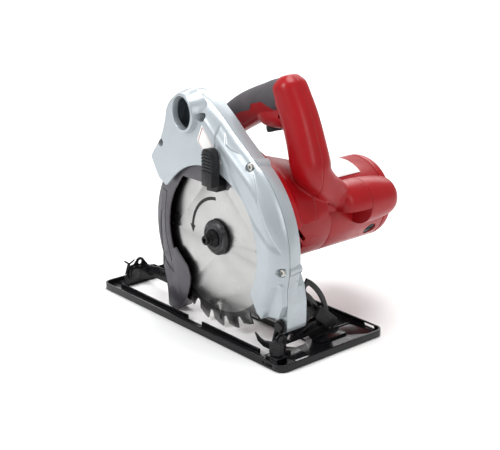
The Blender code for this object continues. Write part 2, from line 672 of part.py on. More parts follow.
def lower_guard():
    """The swinging guard: two plates joined by a bevelled rim, with a foot, a top plate for the lever and a hub."""
    thin = 1.5
    ring = arc(SPINDLE, LOWER_RADIUS + 2, 68.0, 210.0, 18)
    ring += [around(SPINDLE, 79.0, a) for a in (208.0, 198.0, 186.0, 174.0, 162.0, 150.0, 140.0)]
    ring += [(-32.0, 168.5), (47.0, 168.5), (58.0, 180.0)]
    shell = prism("lower_guard", ring, LOWER_NEAR - 2, LOWER_FAR + 2, "y", "guard")
    bevel = [(101.5, LOWER_NEAR), (109.6, LOWER_NEAR + 8.6), (LOWER_RADIUS, LOWER_FAR)]
    keep(shell, turned("lower_bevel", SPINDLE, bevel, steps=48))
    foot = [(-72.0, 49.0), (-66.0, 24.0), (-63.5, 3.0), (-61.0, 1.2), (-47.0, 1.2), (-41.0, 4.5), (-29.0, 20.0)]
    foot += [(-22.0, 38.0), (-21.0, 50.0), (-25.0, 60.0), (-48.0, 78.0), (-68.0, 66.0)]
    join(shell, prism("guard_foot", foot, LOWER_NEAR, LOWER_FAR, "y"))
    hollow = [(99.8, LOWER_NEAR + thin), (108.0, LOWER_NEAR + 10), (108.3, LOWER_FAR - thin)]
    cut(shell, turned("lower_space", SPINDLE, hollow, steps=48))
    space = [(-70.0, 47.0), (-64.2, 24.0), (-61.6, 4.0), (-60.5, 2.9), (-47.5, 2.9), (-42.4, 5.8), (-30.6, 21.0)]
    space += [(-23.6, 38.0), (0.0, 60.0), (20.0, 107.0), (-60.0, 60.0)]
    cut(shell, prism("foot_space", space, LOWER_NEAR + thin, LOWER_FAR - thin, "y"))
    arms = arc(SPINDLE, 82.0, 76.0, 200.0, 12) + arc(SPINDLE, 22.0, 230.0, 46.0, 10)
    join(shell, prism("guard_arms", arms, LOWER_FAR - thin, LOWER_FAR, "y"))
    join(shell, turned("guard_hub", SPINDLE, [(25.5, LOWER_FAR - thin), (25.5, -33.8)], steps=28))
    cut(shell, turned("guard_hub_bore", SPINDLE, [(16.9, -45.0), (16.9, -20.0)], steps=28))
    relief = arc(SPINDLE, 66.0, 96.0, 186.0, 8) + arc(SPINDLE, 36.0, 186.0, 96.0, 6)
    cut(shell, prism("guard_relief", relief, -45.0, -30.0, "y"))
    return shell


def guard_lever():
    """The black thumb lever on the lower guard, standing out in front of the upper guard."""
    block = [(27.0, 167.0), (44.5, 168.5), (46.5, 176.0), (44.5, 182.0), (29.0, 182.0), (26.5, 172.0)]
    lever = prism("guard_lever", block, -65.0, LOWER_NEAR - GAP, "y", "plastic")
    shaft = [(29.5, 175.0), (46.5, 175.0), (47.5, 206.0), (45.0, 213.0), (40.5, 217.0), (33.0, 216.0), (29.5, 211.0)]
    join(lever, prism("lever_shaft", shaft, -74.0, -63.4, "y"))
    for i in range(6):
        height = 192.0 + 3.6 * i
        cut(lever, box(f"lever_groove_{i}", (10.0, -76.0, height), (60.0, -72.9, height + 1.4)))
    return lever


def guard_spring():
    """The torsion spring round the nose: a flat coil of wire."""
    rings = []
    turns, radius, wire = 2.0, 20.6, 0.65
    steps, sides = 32, 5
    for i in range(steps + 1):
        angle = 2 * math.pi * turns * i / steps
        centre = Vector((math.cos(angle), 0.0, math.sin(angle)))
        y = -32.6 + 2.0 * i / steps
        ring = []
        for k in range(sides):
            turn = 2 * math.pi * k / sides
            reach = radius + wire * math.cos(turn)
            ring.append((SPINDLE[0] + centre.x * reach, y + wire * math.sin(turn), SPINDLE[1] + centre.z * reach))
        rings.append(ring)
    return finish_mesh("guard_spring", loft(rings), "steel")


# ---------------------------------------------------------------- blade and spindle


def blade():
    """The blade: hooked teeth, four expansion slots with holes, and a 30 mm bore."""
    pitch = 360.0 / TEETH
    outline = []
    for i in range(TEETH):
        tip = TOOTH_PHASE - i * pitch
        outline.append(around(SPINDLE, BLADE_RADIUS, tip))
        outline.append(around(SPINDLE, BLADE_RADIUS - 1.2, tip - 3.0))
        outline.append(around(SPINDLE, BLADE_RADIUS - 4.4, tip - 8.6))
        outline.append(around(SPINDLE, BLADE_RADIUS - 12.6, tip - 10.6))
        outline.append(around(SPINDLE, BLADE_RADIUS - 13.4, tip - 13.0))
        outline.append(around(SPINDLE, BLADE_RADIUS - 10.0, tip - 14.4))
    outline.reverse()
    disc = prism("blade", outline, BLADE_Y - 1.0, BLADE_Y + 1.0, "y", "steel")
    cut(disc, turned("blade_bore", SPINDLE, [(15.0, -60.0), (15.0, -30.0)], steps=28))
    for i in range(4):
        angle = -87.0 + 90.0 * i
        hole = around(SPINDLE, 77.0, angle)
        mouth = around(SPINDLE, 97.0, angle)
        cut(disc, turned(f"slot_hole_{i}", hole, [(2.2, -60.0), (2.2, -30.0)], steps=10))
        cut(disc, prism(f"slot_cut_{i}", slot_outline(hole, mouth, 0.5, 1), -60.0, -30.0, "y"))
    return disc


def gear_outline(centre, teeth, phase, addendum, dedendum):
    pitch_radius = MODULE * teeth / 2
    step = 360.0 / teeth
    points = []
    for i in range(teeth):
        middle = phase + i * step
        points.append(around(centre, pitch_radius - dedendum, middle - 0.31 * step))
        points.append(around(centre, pitch_radius + addendum, middle - 0.12 * step))
        points.append(around(centre, pitch_radius + addendum, middle + 0.12 * step))
        points.append(around(centre, pitch_radius - dedendum, middle + 0.31 * step))
    return points


def drive():
    inner = turned(
        "inner_flange",
        SPINDLE,
        [(14.7, -45.2), (14.7, -43.2), (20.0, -43.1), (20.0, -39.8), (12.0, -39.6)],
        "black",
        steps=28,
    )
    cut(inner, turned("inner_flange_bore", SPINDLE, [(8.0, -60.0), (8.0, -20.0)], steps=20))
    outer = turned(
        "outer_flange",
        SPINDLE,
        [(12.0, -51.2), (17.5, -50.6), (20.2, -48.4), (20.2, -45.8)],
        "black",
        steps=28,
    )
    cut(outer, turned("outer_flange_bore", SPINDLE, [(4.5, -60.0), (4.5, -20.0)], steps=20))
    bolt = turned(
        "arbor_bolt",
        SPINDLE,
        [(5.0, -64.4), (5.4, -63.6), (5.4, -59.6), (6.0, -59.4), (10.4, -53.4), (10.4, -51.6), (4.0, -51.5), (4.0, -36.0)],
        "black",
        steps=20,
    )
    join(bolt, prism("bolt_hex", circle(SPINDLE, 7.6, 6), -60.4, -53.0, "y"))
    cut(bolt, prism("bolt_socket", circle(SPINDLE, 3.2, 6), -70.0, -60.5, "y"))
    shaft = turned(
        "spindle",
        SPINDLE,
        [(7.6, -45.4), (7.6, -22.0), (8.4, -21.9), (8.4, -21.2), (6.6, -21.1), (6.6, -12.0), (4.6, -11.9), (4.6, -2.0)],
        "steel",
        steps=20,
    )
    cut(shaft, turned("spindle_thread", SPINDLE, [(4.3, -60.0), (4.3, -35.0)], steps=16))
    wheel = prism(
        "spindle_gear",
        gear_outline(SPINDLE, GEAR_TEETH, CENTRE_ANGLE, 0.8, 1.3),
        -20.9,
        -13.0,
        "y",
        "steel",
    )
    cut(wheel, turned("gear_bore", SPINDLE, [(6.9, -30.0), (6.9, 0.0)], steps=16))
    return inner, outer, bolt, shaft, wheel


def bearing(name, centre, inner, outer, start, end):
    return tube(name, centre, inner, outer, start, end, "steel", steps=18)


# ---------------------------------------------------------------- gear case and motor


def case_outline(extra):
    """The gear case outline: a hull of two circles round the spindle and the motor axis."""
    first = arc(SPINDLE, 30.0 + extra, CENTRE_ANGLE + 85, CENTRE_ANGLE + 275, 10)
    second = arc(MOTOR, 36.0 + extra, CENTRE_ANGLE - 80, CENTRE_ANGLE + 80, 10)
    return first + second


def gear_case():
    case = prism("gear_case", case_outline(0.0), GUARD_FAR + GAP, HOUSING_START - GAP, "y", "silver")
    join(case, turned("case_nose", SPINDLE, [(16.4, -38.4), (16.4, GUARD_FAR + 2)], steps=28))
    cut(case, turned("case_gear_room", SPINDLE, [(25.5, -23.6), (25.5, 0.0)], steps=28))
    cut(case, turned("case_pinion_room", MOTOR, [(9.0, -23.6), (9.0, 0.0)], steps=16))
    cut(case, turned("case_bearing_seat", SPINDLE, [(13.3, -50.0), (13.3, -27.6)], steps=24))
    cut(case, turned("case_bore", SPINDLE, [(9.0, -50.0), (9.0, 0.0)], steps=20))
    cut(case, turned("case_motor_seat", MOTOR, [(30.0, -11.4), (30.0, 0.0)], steps=24))
    return case


def bearing_plate():
    """The plate that closes the gear case and holds the rear spindle bearing and the front motor bearing."""
    plate = prism("bearing_plate", case_outline(-1.5), HOUSING_START, -4.2, "y", "silver")
    join(plate, turned("plate_boss", SPINDLE, [(11.4, HOUSING_START), (11.4, 1.6)], steps=20))
    join(plate, turned("plate_motor_boss", MOTOR, [(14.0, HOUSING_START), (14.0, 6.0)], steps=20))
    cut(plate, turned("plate_spindle_seat", SPINDLE, [(9.3, -20.0), (9.3, -0.4)], steps=20))
    cut(plate, turned("plate_motor_seat", MOTOR, [(11.3, -5.4), (11.3, 20.0)], steps=20))
    cut(plate, turned("plate_motor_bore", MOTOR, [(6.6, -20.0), (6.6, 20.0)], steps=16))
    return plate


def motor_housing():
    start = HOUSING_START + 3.8
    housing = turned("motor_housing", MOTOR, [(MOTOR_RADIUS, start), (MOTOR_RADIUS, HOUSING_END)], "red", steps=32)
    cut(housing, turned("housing_inside", MOTOR, [(44.6, start - 5), (44.6, HOUSING_END - 4)], steps=32))
    cut(housing, turned("housing_end_hole", MOTOR, [(30.0, 100.0), (30.0, 200.0)], steps=24))
    for i in range(3):
        angle = -33.0 + 13.0 * i
        for x_turn in (angle, angle + 180.0):
            vent = slot_outline((10.0, 40.0), (27.0, 54.0), 2.2, 2)
            tool = prism(f"vent_{i}_{int(x_turn)}", vent, 38.0, 56.0, "z")
            tool.data.transform(turn_about_motor(x_turn))
            cut(housing, tool)
    for sign in (0.0, 180.0):
        cut(housing, radial_rod(f"brush_port_{int(sign)}", 8.6, 30.0, 60.0, BRUSH_ANGLE + sign))
    return housing


def turn_about_motor(angle):
    """Carries a tool made over the origin, pointing up, to an angle on the motor housing."""
    move = Matrix.Translation(Vector((MOTOR[0], 0.0, MOTOR[1])) * MM)
    turn = Matrix.Rotation(math.radians(90.0 - angle), 4, "Y")
    back = Matrix.Translation(Vector((-18.5, -34.0, 0.0)) * MM)
    return move @ turn @ back


def radial_rod(name, radius, start, end, angle, look=None, steps=16):
    """A rod that stands out from the motor axis at an angle, between two radii."""
    turn = math.radians(angle)
    out = Vector((math.cos(turn), 0.0, math.sin(turn)))
    side = Vector((-math.sin(turn), 0.0, math.cos(turn)))
    rings = []
    for reach in (start, end):
        ring = []
        for k in range(steps):
            phase = 2 * math.pi * k / steps
            point = Vector((MOTOR[0], BRUSH_Y, MOTOR[1])) + out * reach
            point += side * radius * math.cos(phase) + Vector((0, 1, 0)) * radius * math.sin(phase)
            ring.append(tuple(point))
        rings.append(ring)
    return finish_mesh(name, loft(rings), look, part=look is not None)


def radial_box(name, half_side, half_along, start, end, angle, look=None):
    turn = math.radians(angle)
    out = Vector((math.cos(turn), 0.0, math.sin(turn)))
    side = Vector((-math.sin(turn), 0.0, math.cos(turn)))
    rings = []
    for reach in (start, end):
        ring = []
        for a, b in ((-1, -1), (1, -1), (1, 1), (-1, 1)):
            point = Vector((MOTOR[0], BRUSH_Y, MOTOR[1])) + out * reach
            point += side * half_side * a + Vector((0, 1, 0)) * half_along * b
            ring.append(tuple(point))
        rings.append(ring)
    return finish_mesh(name, loft(rings), look, part=look is not None)


def brush_set(label, angle):
    holder = radial_rod(f"brush_holder_{label}", 6.0, 16.0, 43.6, angle, "plastic", steps=12)
    cut(holder, radial_box(f"brush_channel_{label}", 3.0, 4.2, 5.0, 60.0, angle))
    brush = radial_box(f"brush_{label}", 2.6, 3.8, 13.2, 34.0, angle, "carbon")
    cap = radial_rod(f"brush_cap_{label}", 8.2, 44.0, 47.8, angle, "plastic", steps=20)
    cut(cap, radial_box(f"brush_cap_slot_{label}", 1.0, 5.0, 46.6, 60.0, angle))
    return holder, brush, cap


def end_cap():
    profile = [(48.0, HOUSING_END + GAP), (49.0, 152.0), (48.6, 158.0), (45.0, 163.0), (38.0, CAP_END)]
    cap = turned("end_cap", MOTOR, profile, "red", steps=32)
    cut(cap, turned("cap_inside", MOTOR, [(40.0, 140.0), (40.0, 160.6)], steps=24))
    join(cap, turned("cap_seat", MOTOR, [(14.0, 150.8), (14.0, 162.0)], steps=20))
    cut(cap, turned("cap_bearing_seat", MOTOR, [(11.3, 140.0), (11.3, 159.4)], steps=20))
    for i in range(6):
        angle = 30.0 + 60.0 * i
        slot = slot_outline(around(MOTOR, 18.5, angle), around(MOTOR, 33.0, angle), 2.2, 2)
        cut(cap, prism(f"cap_vent_{i}", slot, 150.0, 180.0, "y"))
    return cap


def armature():
    shaft = turned(
        "armature_shaft",
        MOTOR,
        [(3.9, -22.6), (3.9, -12.0), (4.8, -11.8), (4.8, 158.6)],
        "steel",
        steps=16,
    )
    teeth = prism(
        "pinion_teeth",
        gear_outline(MOTOR, PINION_TEETH, CENTRE_ANGLE + 180.0 + 180.0 / PINION_TEETH, 0.8, 1.3),
        -21.4,
        -12.5,
        "y",
    )
    join(shaft, teeth)
    core = tube("armature_core", MOTOR, 5.1, 23.0, 63.0, 109.0, "steel", steps=28)
    for i in range(6):
        x, z = around(MOTOR, 21.6, 60.0 * i)
        cut(core, turned(f"core_groove_{i}", (x, z), [(2.4, 50.0), (2.4, 120.0)], steps=8))
    commutator = tube("commutator", MOTOR, 5.1, 12.8, 123.0, 143.0, "copper", steps=24)
    fan = turned("fan", MOTOR, [(41.0, 13.0), (41.0, 15.0), (14.0, 15.2), (12.0, 27.0)], "plastic", steps=32)
    for i in range(9):
        angle = 40.0 * i
        inner = around(MOTOR, 11.0, angle)
        outer = around(MOTOR, 38.0, angle + 16.0)
        join(fan, prism(f"fan_blade_{i}", slot_outline(inner, outer, 0.9, 1), 14.0, 26.0, "y"))
    cut(fan, turned("fan_bore", MOTOR, [(5.1, 0.0), (5.1, 40.0)], steps=16))
    return shaft, core, commutator, fan


def stator():
    core = tube("field_stator", MOTOR, 24.4, 43.8, 60.0, 112.0, "steel", steps=32)
    for i, angle in enumerate((0.0, 180.0)):
        low = around(MOTOR, 33.0, angle)
        gap = rounded_rectangle((low[0] - 6.0, low[1] - 20.0), (low[0] + 6.0, low[1] + 20.0), 3.0, 2)
        cut(core, prism(f"field_window_{i}", gap, 50.0, 120.0, "y"))
    return core


def field_coil(label, angle):
    low = around(MOTOR, 33.0, angle)
    outline = rounded_rectangle((low[0] - 5.0, low[1] - 19.0), (low[0] + 5.0, low[1] + 19.0), 2.6, 2)
    return prism(f"field_coil_{label}", outline, 56.0, 116.0, "y", "copper")


def rating_label():
    outline = band(MOTOR, MOTOR_RADIUS + GAP, MOTOR_RADIUS + 0.9, 54.0, 98.0, 8)
    return prism("rating_label", outline, 78.0, 126.0, "y", "label")


def cord_gland():
    """The inlet bush where the cord would enter, at the rear of the handle."""
    low = (-49.0, HANDLE_Y, 186.0)
    out = Vector((-0.9, 0.0, -0.44)).normalized()
    stations = []
    for reach, radius in ((6.0, 8.0), (14.4, 8.0), (14.8, 10.0), (18.0, 10.0), (19.0, 8.0), (28.0, 6.8)):
        point = Vector(low) + out * reach
        stations.append((point.x, point.y, point.z, radius, radius))
    bush = swept("cord_gland", stations, "plastic", steps=14)
    start = Vector(low)
    end = start + out * 40.0
    bore = [(start.x, start.y, start.z, 4.0, 4.0), (end.x, end.y, end.z, 4.0, 4.0)]
    cut(bush, swept("gland_bore", bore, steps=10))
    return bush


# ---------------------------------------------------------------- handle

GRIP_LINE = (
    (10.0, HANDLE_Y, 138.0, 13.0, 14.0),
    (-10.0, HANDLE_Y, 152.0, 13.5, 14.5),
    (-32.0, HANDLE_Y, 168.0, 14.0, 15.0),
    (-46.0, HANDLE_Y, 184.0, 15.0, 15.5),
    (-46.0, HANDLE_Y, 201.0, 17.0, 16.0),
    (-33.0, HANDLE_Y, 217.5, 18.5, 16.5),
    (-15.0, HANDLE_Y, 230.5, 19.5, 17.0),
    (3.0, HANDLE_Y, 241.0, 20.0, 17.0),
    (20.0, HANDLE_Y, 249.5, 19.5, 17.5),
    (37.0, HANDLE_Y, 257.0, 19.0, 18.0),
    (56.0, HANDLE_Y, 264.5, 19.0, 18.0),
    (70.0, HANDLE_Y, 268.0, 15.0, 16.0),
)

COLUMN_LINE = (
    (62.5, HANDLE_Y, 288.5, 7.0, 8.0),
    (64.0, HANDLE_Y, 285.0, 13.0, 14.0),
    (67.5, HANDLE_Y, 277.0, 17.0, 18.0),
    (74.0, HANDLE_Y, 264.0, 18.0, 19.0),
    (84.0, HANDLE_Y, 246.0, 18.5, 19.5),
    (92.0, HANDLE_Y, 227.0, 18.8, 20.0),
    (97.5, HANDLE_Y, 211.0, 19.5, 20.5),
    (101.5, HANDLE_Y, 198.0, 20.2, 21.0),
    (103.0, 20.5, 188.0, 19.5, 20.5),
    (103.5, 27.0, 179.0, 18.0, 18.5),
    (102.5, 38.0, 170.0, 16.5, 17.0),
    (100.0, 52.0, 161.0, 16.0, 16.0),
    (98.5, 64.0, 152.0, 15.0, 15.0),
)

TRIGGER_CHEEKS = (
    (27.0, HANDLE_Y, 243.0, 5.0, 10.0),
    (32.0, HANDLE_Y, 241.4, 11.4, 13.6),
    (39.0, HANDLE_Y, 240.6, 13.4, 15.2),
    (50.0, HANDLE_Y, 241.0, 13.6, 15.6),
    (62.0, HANDLE_Y, 242.0, 13.4, 15.6),
    (74.0, HANDLE_Y, 244.0, 10.0, 14.0),
)


def aux_ring(y, half_x, half_z, lift=0.0, steps=20):
    ring = []
    for k in range(steps):
        turn = 2 * math.pi * k / steps
        ring.append((AUX[0] + half_x * math.cos(turn), y, AUX[1] + lift + half_z * math.sin(turn)))
    return ring


def aux_rings(start, end):
    """The auxiliary handle between two stations along Y."""
    stations = (
        (57.0, 8.0, 8.5, 2.2),
        (59.0, 15.5, 16.5, 2.2),
        (63.0, 21.0, 22.0, 2.1),
        (69.0, 24.0, 24.6, 1.8),
        (80.0, 25.4, 26.0, 0.8),
        (AUX_SPLIT - GAP / 2, 26.0, 26.7, 0.0),
        (AUX_SPLIT + GAP / 2, 26.0, 26.7, 0.0),
        (115.0, 25.6, 25.8, -0.7),
        (132.0, 24.4, 23.6, -1.4),
        (140.0, 22.0, 21.4, -1.5),
        (144.5, 17.5, 17.0, -1.5),
        (146.8, 9.0, 9.0, -1.5),
    )
    return [aux_ring(y, a, b, lift) for y, a, b, lift in stations if start <= y <= end]


def skirt_points():
    """The broad collar next to the guard and its fall towards the motor."""
    points = []
    for y, radius in ((GUARD_FAR + GAP, 109.0), (-12.0, 106.0), (-6.0, 101.0)):
        for x, z in arc(SPINDLE, radius, 12.0, 74.0, 8):
            points.append((x, y, z))
        points += [(SPINDLE[0] - 30.0, y, SEAM_Z + 10), (SPINDLE[0] - 30.0, y, SEAM_Z - 8), (112.0, y, SEAM_Z - 8)]
    return points


def saddle_points():
    points = []
    for x, z in arc(SPINDLE, 100.0, 14.0, 72.0, 7):
        points.append((x, -8.0, z))
    for x, z in arc((60.0, 135.0), 53.0, 0.0, 160.0, 9):
        points.append((x, 38.0, z))
    points += [(x, -8.0, SEAM_Z - 9) for x in (2.0, 106.0)]
    points += [(x, 38.0, SEAM_Z - 9) for x in (4.0, 110.0)]
    return points


def aux_bridge_points():
    points = []
    for y, top in ((52.0, 163.0), (88.0, 160.0)):
        points += [(x, y, z) for x in (82.0, 104.0) for z in (SEAM_Z - 6, top)]
    points += [(x, 17.0, z) for x in (72.0, 103.0) for z in (SEAM_Z - 6, 176.0)]
    return points


def handle_solid(name, near):
    """One half of the clamshell that makes the D handle, the collar and the near part of the auxiliary handle."""
    tag = "near" if near else "far"
    shell = finish_mesh(name, loft(grip_rings(GRIP_LINE)), "red", sharp=50.0)
    join(shell, swept(f"column_{tag}", COLUMN_LINE))
    join(shell, swept(f"trigger_cheeks_{tag}", TRIGGER_CHEEKS))
    if near:
        join(shell, hull(f"skirt_{tag}", skirt_points()))
    join(shell, hull(f"saddle_{tag}", saddle_points()))
    if not near:
        join(shell, hull("aux_bridge", aux_bridge_points()))
    cut(shell, box(f"seam_{tag}", (-200.0, -100.0, 0.0), (300.0, 300.0, SEAM_Z)))
    if not near:
        join(shell, finish_mesh("aux_near", loft(aux_rings(50.0, AUX_SPLIT)), None, part=False))
    side = box(
        f"halving_{tag}",
        (-300.0, HANDLE_Y - (GAP / 2 if near else -GAP / 2), -50.0),
        (400.0, 400.0 if near else -400.0, 500.0),
    )
    cut(shell, side)
    cut(shell, turned(f"motor_room_{tag}", MOTOR, [(MOTOR_RADIUS + 0.35, -8.1), (MOTOR_RADIUS + 0.35, 170.0)], steps=36))
    cut(shell, prism(f"case_room_{tag}", case_outline(0.5), -50.0, -7.0, "y"))
    rooms = box(f"switch_room_{tag}", (13.6, 8.4, 239.3), (44.0, 28.9, 258.3))
    join(rooms, box(f"trigger_room_{tag}", (33.4, 10.9, 214.0), (63.7, 26.3, 246.7)))
    cut(shell, rooms)
    cut(shell, box(f"lock_room_{tag}", (66.0, 2.8, 243.4), (76.6, 60.0, 254.0)))
    cut(shell, grip_bed(tag))
    bore = Vector((-49.0, HANDLE_Y, 186.0))
    out = Vector((-0.9, 0.0, -0.44)).normalized()
    far_end = bore + out * 30.0
    near_end = bore - out * 2.0
    stations = [(near_end.x, HANDLE_Y, near_end.z, 8.4, 8.4), (far_end.x, HANDLE_Y, far_end.z, 8.4, 8.4)]
    cut(shell, swept(f"gland_room_{tag}", stations, steps=14))
    return shell


def grip_rings(line):
    rings = []
    steps = 18
    for i, (x, y, z, tall, wide) in enumerate(line):
        before = line[max(i - 1, 0)]
        after = line[min(i + 1, len(line) - 1)]
        along = Vector((after[0] - before[0], 0.0, after[2] - before[2])).normalized()
        up = Vector((-along.z, 0.0, along.x))
        ring = []
        for k in range(steps):
            turn = 2 * math.pi * (k + 0.5) / steps
            point = Vector((x, y, z)) + Vector((0, 1, 0)) * wide * math.cos(turn) + up * tall * math.sin(turn)
            ring.append(tuple(point))
        rings.append(ring)
    return rings


def grip_region(name, gap):
    """The saddle-shaped part of the grip that the soft overmould covers, seen from the side."""
    outline = [
        (-70.0, 212.0 - gap),
        (-30.0, 218.0 - gap),
        (-12.0, 236.0 - gap),
        (-4.0, 236.0 - gap),
        (8.0, 241.0 - gap),
        (21.0, 245.0 - gap),
        (25.0, 253.0 - gap),
        (42.0, 258.0 - gap),
        (50.0, 257.0 - gap),
        (54.0 + gap, 255.0 - gap),
        (48.6 + gap, 270.0),
        (48.0 + gap, 300.0),
        (-70.0, 300.0),
    ]
    return prism(name, outline, -40.0, 80.0, "y")


def grip_line_inset(depth):
    return [(x, y, z, tall - depth, wide - depth) for x, y, z, tall, wide in GRIP_LINE]


def soft_grip():
    """The rubber skin moulded over the top of the grip."""
    skin = finish_mesh("soft_grip", loft(grip_rings(GRIP_LINE)), "grip", sharp=50.0)
    keep(skin, grip_region("grip_skin_region", 0.0))
    cut(skin, finish_mesh("grip_skin_inside", loft(grip_rings(grip_line_inset(GRIP_SKIN))), None, part=False))
    return skin


def grip_bed(tag):
    """What a handle half loses where the skin sits."""
    bed = finish_mesh(f"grip_bed_{tag}", loft(grip_rings(grip_line_inset(-2.0))), None, part=False)
    keep(bed, grip_region(f"grip_bed_region_{tag}", GAP))
    core = finish_mesh(f"grip_core_{tag}", loft(grip_rings(grip_line_inset(GRIP_SKIN + GAP))), None, part=False)
    cut(bed, core)
    return bed


def aux_end():
    end = finish_mesh("aux_handle_end", loft(aux_rings(AUX_SPLIT, 200.0)), "red", sharp=50.0)
    cut(end, turned("aux_motor_room", MOTOR, [(MOTOR_RADIUS + 0.35, 50.0), (MOTOR_RADIUS + 0.35, 170.0)], steps=36))
    return end


def trigger():
    outline = [(36.6, 236.0), (37.6, 224.0), (40.0, 221.4), (45.5, 222.8), (52.0, 225.4), (60.0, 227.4), (61.6, 231.0)]
    outline += [(61.6, 240.0), (57.0, 243.0), (46.0, 238.0)]
    return prism("trigger", outline, 11.8, 25.4, "y", "plastic")


def switch_body():
    body = box("switch_body", (14.8, 9.4, 240.2), (42.6, 18.0, 257.4), "plastic")
    join(body, box("switch_far_half", (14.8, 17.0, 240.2), (42.6, 27.8, 257.4)))
    return body


def lock_button():
    profile = [(4.6, HANDLE_Y - 12.0), (4.6, HANDLE_Y + 23.4), (4.0, HANDLE_Y + 24.4)]
    return turned("lock_button", LOCK, profile, "plastic", steps=16)


# ---------------------------------------------------------------- everything


def carry(axis_name, point, parts, parent=None):
    """An empty on a joint axis that carries the pieces moving with it, at rest where they were made."""
    empty = bpy.data.objects.new(axis_name, None)
    PARTS.objects.link(empty)
    empty.location = Vector(point) * MM
    empty.empty_display_size = 0.01
    riders = [bpy.data.objects[name] for name in parts]
    for rider in riders:
        rider.parent = empty
        rider.matrix_parent_inverse = Matrix.Translation(-Vector(point) * MM)
    if parent:
        empty.parent = parent[0]
        empty.matrix_parent_inverse = Matrix.Translation(-Vector(parent[1]) * MM)
    return empty, point


def joint_axes(fixed_in_head):
    """The tree of joints: base, tilting bracket, plunging head, and what turns or slides in the head."""
    bolt = around((BEVEL_Y, BEVEL_Z), BEVEL_SLOT_RADIUS, BEVEL_REST_ANGLE)
    tilting = ["tilt_bracket", "depth_quadrant", "depth_pivot_pin", "bevel_clamp_bolt"]
    turning = ["blade", "inner_flange", "outer_flange", "arbor_bolt", "spindle", "spindle_gear"]
    armature_parts = ["armature_shaft", "armature_core", "commutator", "fan"]
    spindle = (SPINDLE[0], BLADE_Y, SPINDLE[1])
    carry("axis_guide_screw", (GUIDE_X, GUIDE_SCREW_Y, 0.0), ["guide_screw"])
    tilt = carry("axis_bevel", (PIVOT[0], BEVEL_Y, BEVEL_Z), tilting)
    carry("axis_bevel_lever", (129.0, bolt[0], bolt[1]), ["bevel_lever"], tilt)
    head = carry("axis_depth", (PIVOT[0], BEVEL_Y, PIVOT[1]), fixed_in_head, tilt)
    carry("axis_lower_guard", (SPINDLE[0], LOWER_FAR, SPINDLE[1]), ["lower_guard", "guard_lever"], head)
    carry("axis_blade", spindle, turning, head)
    carry("axis_armature", (MOTOR[0], 0.0, MOTOR[1]), armature_parts, head)
    carry("axis_trigger", (TRIGGER_PIVOT[0], HANDLE_Y, TRIGGER_PIVOT[1]), ["trigger"], head)
    carry("axis_lock_button", (LOCK[0], HANDLE_Y, LOCK[1]), ["lock_button"], head)
    carry("axis_depth_lever", (DEPTH_BOLT[0], -17.0, DEPTH_BOLT[1]), ["depth_lever"], head)


def build():
    base_plate()
    front_bracket()
    rear_bracket()
    pivot_bolt("bevel_rivet_front", 126.0, 118.5)
    pivot_bolt("bevel_rivet_rear", -148.4, -141.5)
    guide_clamp()
    tilt_bracket()
    depth_pin()
    bevel_clamp()
    depth_quadrant()
    bolt, _ = depth_clamp()
    head_parts = [bolt, upper_guard_cover(), upper_guard_body(), guard_spring()]
    head_parts += [cover_screw(i, x, z) for i, (x, z) in enumerate(COVER_SCREWS)]
    lower_guard()
    guard_lever()
    blade()
    drive()
    armature()
    head_parts += [gear_case(), bearing_plate(), motor_housing(), end_cap(), stator(), rating_label()]
    head_parts += [
        bearing("spindle_bearing_near", SPINDLE, 7.9, 13.0, -38.0, -27.9),
        bearing("spindle_bearing_far", SPINDLE, 4.9, 9.0, -7.0, -0.8),
        bearing("motor_bearing_near", MOTOR, 5.1, 11.0, -5.0, 2.0),
        bearing("motor_bearing_far", MOTOR, 5.1, 11.0, 152.0, 159.0),
    ]
    head_parts += [field_coil("front", 0.0), field_coil("rear", 180.0)]
    head_parts += brush_set("front", BRUSH_ANGLE)
    head_parts += brush_set("rear", BRUSH_ANGLE + 180.0)
    head_parts += [handle_solid("handle_near", True), handle_solid("handle_far", False), aux_end()]
    head_parts += [soft_grip(), switch_body(), cord_gland()]
    trigger()
    lock_button()
    joint_axes([part.name for part in head_parts])


build()
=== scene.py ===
"""Looks for the circular saw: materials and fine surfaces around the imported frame, on a pale studio floor.

Lengths are in metres. X runs forward along the cut, Y towards the motor, Z up.
"""

import json
import math

import bmesh
import bpy
from mathutils import Matrix, Vector

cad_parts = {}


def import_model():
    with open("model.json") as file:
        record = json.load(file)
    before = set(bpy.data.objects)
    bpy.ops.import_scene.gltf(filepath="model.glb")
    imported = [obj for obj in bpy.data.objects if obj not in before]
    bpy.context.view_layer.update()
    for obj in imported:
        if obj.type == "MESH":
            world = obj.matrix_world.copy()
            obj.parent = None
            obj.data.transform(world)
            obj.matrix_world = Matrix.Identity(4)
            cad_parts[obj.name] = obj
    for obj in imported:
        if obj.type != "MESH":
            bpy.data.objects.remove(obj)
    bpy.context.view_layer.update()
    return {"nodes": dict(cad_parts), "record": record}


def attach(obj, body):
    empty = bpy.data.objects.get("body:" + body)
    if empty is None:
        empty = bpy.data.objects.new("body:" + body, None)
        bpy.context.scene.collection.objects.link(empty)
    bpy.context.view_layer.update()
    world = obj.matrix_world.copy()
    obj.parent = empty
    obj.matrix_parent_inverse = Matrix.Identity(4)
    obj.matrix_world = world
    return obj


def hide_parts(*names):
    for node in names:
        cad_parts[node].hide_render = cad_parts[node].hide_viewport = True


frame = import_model()

MM = 0.001
NODES = frame["nodes"]
BODY_OF = {node: body for body, nodes in frame["record"]["behaviour"]["bodies"].items() for node in nodes}
SLOT_OF = {part["node"]: part["material_slot"] for part in frame["record"]["subparts"]}


# ---------------------------------------------------------------- materials


def socket_links(material):
    tree = material.node_tree
    return tree, tree.nodes, tree.links


